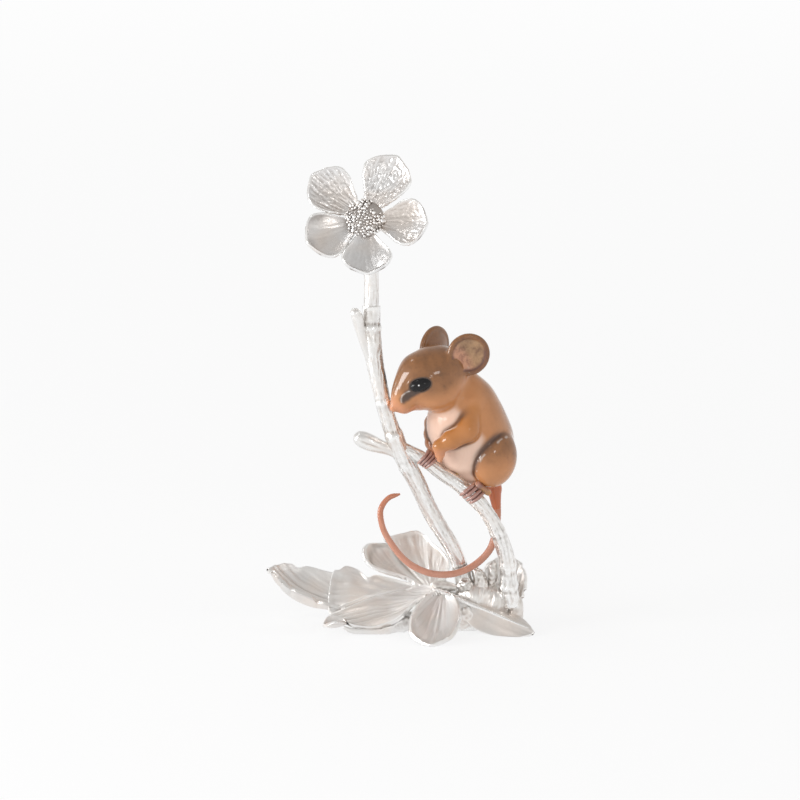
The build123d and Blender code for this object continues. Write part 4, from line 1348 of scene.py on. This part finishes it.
mouse = name_piece(join(*rough), "mouse_skin")
apply_modifier(mouse, "REMESH", mode="VOXEL", voxel_size=VOXEL * MM)
pairs = edge_pairs(mouse)
skin_places = (vertex_places(mouse) / MM - mouse_origin) @ mouse_axes.T
for number in range(ROUNDS):
    if number < ROUNDS - 2:
        skin_places = skin_places + (relax(skin_places, pairs, 1) - skin_places) * 0.5
    slope = np.stack([
        (skin_gap(skin_places + step) - skin_gap(skin_places - step)) / (2 * SLOPE_STEP)
        for step in SLOPE_STEP * upright
    ], axis=1)
    move = slope * (skin_gap(skin_places) / np.maximum((slope**2).sum(1), 0.15))[:, None]
    held = np.minimum(1, LONGEST_MOVE / np.maximum(length_of(move), 1e-9))
    skin_places = skin_places - move * held[:, None]
move_vertices(mouse, on_mouse(skin_places) * MM)
parts = measure_mouse(skin_places)
print("mouse vertices", len(skin_places), "largest gap", np.abs(parts["skin"]).max().round(3), "mm")

# %% [markdown]
# ## Paint
# The lacquer is laid on in thin coats: tan all over, brown on the crown and the back, a pale pink
# belly, orange forelegs, and near-black painted shade in every fold. Each coat is a mask on the
# vertices, worked out from the distances to the parts, and the finish mixes the colours.

# %% Paint masks
def ease(value, low, high):
    """0 below low, 1 above high, and smooth between."""
    t = np.clip((value - low) / (high - low), 0, 1)
    return t * t * (3 - 2 * t)


def most(*values):
    return np.maximum.reduce(values)


f, _, u = skin_places.T
q = skin_places - nose_tip
back, up, left = -(q @ head_way), q @ head_up, q @ head_left
soft = ripple(skin_places, 0.22, 3)
small = ripple(skin_places, 0.7, 5)
arm, thigh, ear = (np.minimum(parts[name, 1], parts[name, -1]) for name in ("arm", "thigh", "ear"))
head_share = ease(parts["body"] - parts["head"], -1.0, 1.0)
arms = 1 - ease(arm, 0.15, 0.7)

edge = read_table(np.clip(u, -6, 26), (-6, 5, 12, 16, 20, 26), (3.0, 2.5, 2.2, 5.0, 8.5, 9.5))
belly = ease(f - edge + soft * 0.8, -0.6, 1.8) * (1 - head_share)
belly = belly * ease(np.minimum(arm, thigh), 0.2, 0.8)
# Painted shade: the belly coat thins on the upper chest, so the chest comes out darker where the
# lamps light it most.
belly = belly * (1 - ease(u, 23.5, 26)) * (1 - 0.16 * ease(u, 12, 17))

crown = head_share * ease(up + 0.25 * back - 0.8 * np.abs(left) * 0.35 + soft * 0.8, 2.2, 6.4)
snout_side = head_share * ease(back, 2.6, 4.6) * (1 - ease(back, 9, 12)) * ease(up, 1.0, 2.6) * 0.6
cheeks = head_share * ease(back, 6, 11) * ease(up, -3.0, 1.5) * 0.85
nape = (1 - head_share) * ease(-f + 0.35 * u + soft * 1.5, 4, 13) * 0.45
haunch_top = (1 - ease(thigh, 0.2, 1.0)) * ease(u + 0.2 * f, 0, 8) * 0.8
ears = (1 - ease(ear, 0.1, 0.9)) * ease(parts["head"], 0.1, 1.2)
brown = most(crown, snout_side, cheeks) + nape + haunch_top + 0.75 * ears

pink = (1 - ease(back + 0.35 * up + soft * 0.2, 1.0, 3.6)) * head_share
chin = head_share * (1 - ease(up + 0.06 * back, -1.9, -0.9)) * (1 - ease(back, 5.5, 8.5))
pink = most(pink, chin, arms * ease(9.6 - u, 0, 2.6))
red = (1 - ease(parts["root"] + 0.10 * (u + 7), -0.1, 1.4)) * ease(-2.5 - u, 0, 4)
coats = {"belly": belly, "brown": brown, "arms": arms, "pink": pink, "red": red}
print("coats:", ", ".join(f"{name} {values.mean():.2f}" for name, values in coats.items()))

# %% [markdown]
# Painted shade lies near-black in the folds round thighs and forelegs, and dark paint lies round
# the eyes and in the rim of each ear. Thin pale lines of painted highlight follow the whisker line
# and the upper edges of foreleg and thigh.

# %% Painted shade and painted highlights
folds, eye_dark, ear_inner, ear_low, ear_line = np.zeros((5, len(f)))
for side in (1, -1):
    thigh, arm, body = parts["thigh", side], parts["arm", side], parts["body"]
    # Painted shade: near-black in the creases where thigh and foreleg meet the body, and under the
    # arch of the thigh.
    crease = bell(np.abs(thigh) + np.abs(body), 0.8) * ease(f + 0.7 * u, -2.5, 0.5)
    crease = crease * ease(u, -6, -3)
    arch = bell(thigh - 0.5, 0.8) * bell(body, 1.6) * ease(f + 0.6 * u, 1.5, 6.5) * ease(u, 2, 8)
    tuck = bell(np.abs(arm) + np.abs(body), 0.75) * ease(u, 5, 8) * ease(f, 4.5, 8)
    folds = most(folds, crease, arch * 0.9, tuck * 0.9)

    ring = 1 - ease(parts["eye", side], 0.15, 0.7)
    patch = (on_head(8.4, 4.0, 6.0 * side), on_head(3.6, 1.9, 2.9 * side), 1.45, 0.8)
    patch = 1 - ease(cone_gap(skin_places, *patch) + small * 0.25, -0.2, 1.0)
    eye_dark = most(eye_dark, ring, patch)

    flat = parts["ear_flat", side]
    dish = np.sqrt(flat**2 + (parts["ear_deep", side] - EAR_BALL_AWAY) ** 2)
    near_ear = (parts["ear", side] < 0.8) & (parts["ear", side] < parts["head"] + 0.4)
    inside = near_ear * ease(13.55 - dish, 0, 0.4) * (1 - ease(flat, 4.6, 5.2))
    low = ease(-(u - 36) * 0.7 + (f - 5.0) * 0.8 + soft * 2.4, -1.6, 2.2)
    ear_inner = most(ear_inner, inside)
    ear_low = most(ear_low, inside * low)
    line = near_ear * bell(flat - 4.9, 0.42) * ease(13.7 - dish, 0, 0.4)
    line = line * ease(0.7 + soft + 0.2 * small - 0.10 * (u - 36), 0, 0.8)
    crack = near_ear * bell(flat - 5.7, 0.26) * ease(13.9 - dish, 0, 0.4)
    crack = crack * ease(0.3 + soft + small - 0.12 * (f - 5), 0, 0.8)
    ear_line = most(ear_line, line, 0.8 * crack)

# Painted highlights: a thin pale line along the whisker ridge, and along the upper edges of the
# near foreleg and thigh on the sides that face up.
whisker_points = [on_head(*place) for place in (
    (2.54, 1.42, 3.05), (2.91, 2.44, 3.08), (3.54, 3.28, 3.23), (4.91, 3.75, 3.85),
    (6.06, 3.74, 4.46),
)]
whisker = np.min([
    cone_gap(skin_places, *ends) for ends in zip(whisker_points, whisker_points[1:])
], axis=0)
up_side = ease(vertex_normals(mouse)[:, 2], 0.0, 0.5) * ease(soft + small, -0.25, 0.1)
arm_edge_highlight = bell(parts["arm", 1], 0.3) * bell(parts["body"] - 1.0, 0.24) * up_side
arm_edge_highlight = arm_edge_highlight * ease(f, 5, 8) * (1 - ease(u, 14.0, 16.0))
thigh_edge_highlight = bell(parts["thigh", 1], 0.3) * bell(parts["body"] - 1.0, 0.22)
thigh_edge_highlight = thigh_edge_highlight * ease(f + u, 2, 5) * ease(small, 0, 0.2)
whisker = most(bell(whisker, 0.16) * (0.75 + small), arm_edge_highlight * 0.9, thigh_edge_highlight * 0.5)
coats.update(folds=folds, eye_dark=eye_dark, ear_inner=ear_inner, ear_low=ear_low,
             ear_line=ear_line, whisker=whisker)
for name, values in coats.items():
    store(mouse, name, np.clip(values, 0, 1))
print("masks stored:", ", ".join(coats))

# %% [markdown]
# The coats are mixed one over another: the light grounds first, then the dark paint, the painted
# shade of the folds, the pale lines of painted highlight, and last the painted shade of the
# hollows. Clear lacquer over them gives the gloss, less of it on the belly.

# %% Fur lacquer
fur = paint("fur_paint")
mottle = fur.grain(190.0, 4.0, 0.6)
hairs = fur.grain(900.0, 3.0, 0.6, (1.0, 1.0, 0.25))
spots = fur.grain(520.0, 4.0, 0.65)
bowl = fur.mix(((spots - 0.38) * 3.5).held(), (0.50, 0.30, 0.15), (0.31, 0.17, 0.09))
bowl_low = fur.mix(((spots - 0.4) * 3.0).held(), (0.72, 0.36, 0.22), (0.48, 0.20, 0.13))
bowl = fur.mix(fur.mask("ear_low") * 0.9, bowl, bowl_low)
dark = ((spots - 0.52) * 4.0).held() * 0.45 + ((mottle - 0.5) * 4.0).held() * 0.45
coat = fur.mix(mottle, (0.60, 0.265, 0.10), (0.48, 0.19, 0.065))
for share, colour in (
    ((fur.mask("brown") * (0.72 + mottle * 0.5)).held(), (0.25, 0.105, 0.036)),
    ((fur.mask("arms") * (0.5 + mottle * 0.6)).held(), (0.48, 0.18, 0.04)),
    (fur.mask("red") * 0.85, (0.50, 0.115, 0.04)),
    (fur.mask("belly") * (0.86 + hairs * 0.2).held(), (0.81, 0.58, 0.465)),
    (fur.mask("ear_inner") * 0.9, bowl),
    (dark.held() * fur.mask("brown"), (0.12, 0.05, 0.02)),
    (fur.mask("pink") * 0.65, (0.70, 0.30, 0.165)),
    (fur.mask("ear_line") * 0.8, (0.10, 0.035, 0.032)),
    # Painted shade in the folds.
    (fur.mask("folds") * 0.9, (0.045, 0.018, 0.012)),
    (fur.mask("eye_dark") * (0.75 + mottle * 0.3).held(), (0.03, 0.022, 0.02)),
    # Painted highlights along the whisker line and the foreleg and thigh edges.
    (fur.mask("whisker"), (0.80, 0.74, 0.68)),
    # Painted shade in the hollows of the skin.
    (fur.mask("hollow") * 0.35, (0.10, 0.04, 0.02)),
):
    coat = fur.mix(share, coat, colour)
fur_paint = fur.close({
    "Base Color": coat, "Roughness": 0.36 + hairs * 0.12, "Specular IOR Level": 0.2,
    "Coat Weight": 1.0 - fur.mask("belly") * 0.75, "Coat Roughness": 0.07,
    "Normal": fur.bump(hairs + mottle, 0.12, 0.00015),
})
measure_hollows(mouse, 0.25, 8)
seat(mouse, fur_paint, "fur_paint", "body", "head", "haunch_left", "haunch_right",
     "foreleg_left", "foreleg_right", "ear_left", "ear_right")

# %% [markdown]
# ## Eyes, feet and tail
# The eyes are black glass-like beads with a white painted highlight dot, the toes are wrapped over
# the branch one by one, and the tail is a long bar with faint rings that sweeps past the front of
# the stem and curls up.

# %% Eyes
gloss = paint("eye_gloss")
cloud = gloss.grain(400.0)
black = gloss.mix(cloud, (0.003, 0.003, 0.004), (0.016, 0.015, 0.016))
eye_gloss = gloss.close({
    # A white painted highlight dot on the black bead.
    "Base Color": gloss.mix(gloss.mask("painted_eye_highlight"), black, (0.9, 0.9, 0.9)),
    "Roughness": 0.16 + cloud * 0.05, "Specular IOR Level": 0.15,
    "Coat Weight": 0.3, "Coat Roughness": 0.03,
})
for side, name in ((1, "eye_left"), (-1, "eye_right")):
    long_way, _, looking = eye_axes[side]
    eye = name_piece(ball(eye_places[side], eye_axes[side], EYE_SIZES, 112), f"{name}_bead")
    # The painted highlight dot sits a little forward of the middle of the bead's outer face.
    dot = on_mouse(eye_places[side] + long_way * 0.5 + looking * 1.72)
    store(eye, "painted_eye_highlight", 1 - ease(length_of(vertex_places(eye) / MM - dot), 0.16, 0.30))
    seat(eye, eye_gloss, "eye_gloss", name)

# %% [markdown]
# The tail is one long bar that tapers to its tip. Its paint is rose, and turns redder towards the
# root, where it comes out of the fur.

# %% Tail
def tail_relief(angle, share, along, spot):
    """Faint rings that wander a little, and fine noise."""
    wobble = ripple(stretched(spot, along, 0.3, 1), 0.5, 61)
    return (0.022 * np.cos(along * 7.5 + wobble * 2)
            + 0.03 * ripple(stretched(spot, along, 1, 0.4), 1.0, 62))


tail = bar(
    "tail_skin",
    ((11.6, 4.6, 43.0), (12.0, 4.2, 41), (12.7, 1.8, 33.5), (12.2, 0, 28.9), (10.8, -1.2, 24.9),
     (7.4, -3, 21.3), (3.6, -5.5, 19.5), (0, -7.5, 18.8), (-7.5, -10, 19.6), (-14.1, -10, 22.9),
     (-18.9, -9, 28.2), (-21.9, -8, 34.1), (-22.2, -7, 38.9), (-19.8, -6, 42), (-16.5, -5, 42.9)),
    1.05,
    ((0, 1.5), (0.03, 1.6), (0.1, 1.25), (0.2, 1.1), (0.35, 1.0), (0.6, 0.97), (0.8, 0.9),
     (0.93, 0.78), (0.98, 0.62), (1, 0.25)), (0, 1, 0), 28, 900, tail_relief,
)
lacquer = paint("tail_paint")
mottle = lacquer.grain(420.0, 4.0, 0.6)
height = lacquer.node("SeparateXYZ", {"Vector": lacquer.node("TexCoord", out="Object")}, "Z")
red_share = ((height - 0.030) * 110.0).held()
rose = lacquer.mix(mottle, (0.64, 0.31, 0.22), (0.50, 0.21, 0.13))
tail_paint = lacquer.close({
    "Base Color": lacquer.mix(red_share * 0.6, rose, (0.48, 0.14, 0.05)),
    "Roughness": 0.36 + mottle * 0.12, "Specular IOR Level": 0.25,
    "Coat Weight": 1.0, "Coat Roughness": 0.08, "Normal": lacquer.bump(mottle, 0.2, 0.0001),
})
seat(tail, tail_paint, "tail_paint", "tail")

# %% [markdown]
# Each hind foot is a narrow sole on top of the branch, and four toes that are bent over its
# front and grip it from below. The toes are bars with a swelling at each joint.

# %% Hind feet
branch_places, branch_ways, _ = follow(branch_points, 400)
toe_bends = ((98, 0.8), (66, 0.6), (34, 0.45), (2, 0.35), (-30, 0.25), (-55, 0.1))
toe_joints = (
    (0, 0.8), (0.15, 1), (0.3, 1.2), (0.45, 0.95), (0.62, 1.15), (0.8, 0.9), (0.93, 0.65), (1, 0.2),
)


def toe_bar(name, right, knuckle, radius, bark_size):
    """A toe from the knuckle over the front of the branch and round below it, where the branch
    passes this far to the right."""
    row = int(np.argmin(np.abs(branch_places[:, 0] - right)))
    middle, way = branch_places[row], branch_ways[row]
    up = np.array((0, 0, 1.0)) - way * way[2]
    up = up / np.linalg.norm(up)
    front = np.cross(up, way)
    front = front * (1 if front[1] < 0 else -1)
    points = [np.array(knuckle)]
    for degrees, lift in toe_bends:
        turn = math.radians(degrees)
        reach = (bark_size + lift) * (math.cos(turn) * front + math.sin(turn) * up)
        points.append(middle + reach + way * (0.55 * math.sin(turn)))
    return bar(name, points, radius, toe_joints, way, 20, 60)


def foot(name, node, rights, knuckle, sole, sole_size, toe_size, bark_size):
    """A whole foot: the sole first, then the toes, melted into one."""
    swells = ((0, 0.75), (0.2, 1.0), (0.6, 0.95), (0.9, 1.1), (1, 0.6))
    whole = bar(name, sole, sole_size, swells, (0, 0, 1), 28, 50)
    join(whole, *(toe_bar(name, right, knuckle, toe_size, bark_size) for right in rights))
    apply_modifier(whole, "REMESH", mode="VOXEL", voxel_size=0.1 * MM)
    move_vertices(whole, relax(vertex_places(whole), edge_pairs(whole), 1))
    places = vertex_places(whole) / MM
    heel = np.array(sole[0])
    way = np.array(sole[-1]) - heel
    along = (places - heel) @ way / (way**2).sum()
    off = length_of(places - heel - np.outer(np.clip(along, 0, 1), way))
    store(whole, "ochre", ease(1.5 - off, 0, 0.4) * (1 - ease(along, 0.8, 1.0)))
    # The knuckle mask marks where a painted highlight goes.
    store(whole, "knuckle", bell(length_of(places - np.array(knuckle) - (0, -0.4, 0.5)), 1.0))
    measure_hollows(whole, 0.08, 8)
    seat(name_piece(whole, f"{node}_skin"), foot_paint, "foot_paint", node)


print("branch followed in", len(branch_places), "steps")

# %% [markdown]
# The skin of the feet is dark, and the sole is brushed ochre. Painted highlights lighten the
# ridges of the toes and the knuckle, and painted shade makes the gaps between the toes nearly
# black, so that the toes can be told apart.

# %% Foot paint
skin = paint("foot_paint")
mottle = skin.grain(700.0, 3.0, 0.6)
toes = skin.mix(mottle, (0.25, 0.09, 0.065), (0.15, 0.05, 0.04))
for share, colour in (
    # Painted highlight on the ridges of the toes.
    ((skin.mask("ridge") * 1.2).held(), (0.80, 0.50, 0.42)),
    (skin.mask("ochre") * 0.85, (0.52, 0.25, 0.07)),
    # Painted highlight on the knuckle.
    (skin.mask("knuckle") * 0.7, (0.80, 0.42, 0.27)),
    # Painted shade in the gaps between the toes.
    ((skin.mask("hollow") * 1.2).held(), (0.03, 0.010, 0.010)),
):
    toes = skin.mix(share, toes, colour)
foot_paint = skin.close({
    "Base Color": toes, "Roughness": 0.3 + mottle * 0.1, "Specular IOR Level": 0.3,
    "Coat Weight": 1.0, "Coat Roughness": 0.05,
})
foot("near_foot", "foot_left", (3.3, 4.2, 5.1, 6.0), (5.9, -7.2, 46.7),
     ((10.4, -5.8, 43.2), (8.9, -6.4, 44.6), (7.4, -6.9, 45.8), (5.9, -7.1, 46.6)), 1.1, 0.56, 2.25)
foot("far_foot", "foot_right", (-9.9, -9.1, -8.3, -7.5), (-7.2, -4.0, 54.6),
     ((-4.8, -2.8, 52), (-5.6, -3.1, 52.9), (-6.4, -3.5, 53.8), (-7.2, -3.9, 54.5)), 0.8, 0.48, 2.1)

# %% [markdown]
# ## Pins
# The brass pins sit inside the castings and only need the look of turned brass.

# %% Remaining solids
turned = paint("pin_brass")
wear = turned.grain(900.0)
pin_brass = turned.close({
    "Base Color": turned.mix(wear, (0.72, 0.55, 0.28), (0.50, 0.36, 0.16)),
    "Metallic": 1.0, "Roughness": 0.25 + wear * 0.25,
})
for name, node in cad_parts.items():
    if node.hide_render:
        continue
    node.data.materials.clear()
    node.data.materials.append(pin_brass)
    print(name, "keeps its solid")

# %% [markdown]
# ## Floor and surroundings
# The floor and the tent are white where the camera and the metal see them, and give a softer
# light of their own. The floor still takes the shadow of the figurine.

# %% Floor
WHITE = (1, 1, 1)
FLOOR_GREY = (0.93, 0.93, 0.93)
GLOW_NEAR, GLOW_ADDED, GLOW_MIRRORED = 0.80, 0.20, 0.7
bpy.ops.object.select_all(action="DESELECT")
bpy.ops.mesh.primitive_plane_add(size=6)
floor = name_piece(active(), "floor")
ground = paint("floor_white")
place = ground.node("TexCoord", out="Object")
away = ground.node("VectorMath", {0: place}, "Value", operation="LENGTH")
glowing = GLOW_NEAR + ((away - 0.20) * 1.2).held() * GLOW_ADDED
share = (ground.node("LightPath", out="Is Camera Ray") * glowing
         + ground.node("LightPath", out="Is Glossy Ray") * GLOW_MIRRORED)
matt = ground.node("BsdfDiffuse", {"Color": FLOOR_GREY})
glow = ground.node("Emission", {"Color": WHITE, "Strength": 1.0})
ground.node("OutputMaterial", {"Surface": ground.node("MixShader", {0: share, 1: matt, 2: glow})})
floor.data.materials.append(ground.owner)
print("floor", floor.name, "size", round(floor.dimensions.x, 2), "m")

# %% [markdown]
# The tent is plain white for the camera and a softer white for the light that it gives. What
# metal and lacquer mirror of it falls off upwards, so that their tops don't burn out.

# %% Tent
TENT_LIGHT, TENT_LEVEL, TENT_FALL = 0.45, 1.04, 0.46
bpy.context.scene.world = bpy.data.worlds.new("white_tent")
tent = Finish(bpy.context.scene.world)
height = tent.node("SeparateXYZ", {"Vector": tent.node("TexCoord", out="Generated")}, "Z").held()
lit = tent.node("Background", {"Color": WHITE, "Strength": TENT_LIGHT})
level = TENT_LEVEL - (height ** 0.5) * TENT_FALL
mirrored = tent.node("Background", {"Color": (1, 0.985, 0.965), "Strength": level})
seen = tent.node("Background", {"Color": WHITE, "Strength": 1.0})
for ray, shader in (("Is Glossy Ray", mirrored), ("Is Camera Ray", seen)):
    lit = tent.node("MixShader", {0: tent.node("LightPath", out=ray), 1: lit, 2: shader})
tent.node("OutputWorld", {"Surface": lit})
bpy.context.scene.view_settings.view_transform = "Standard"
print("tent ready, view", bpy.context.scene.view_settings.view_transform)
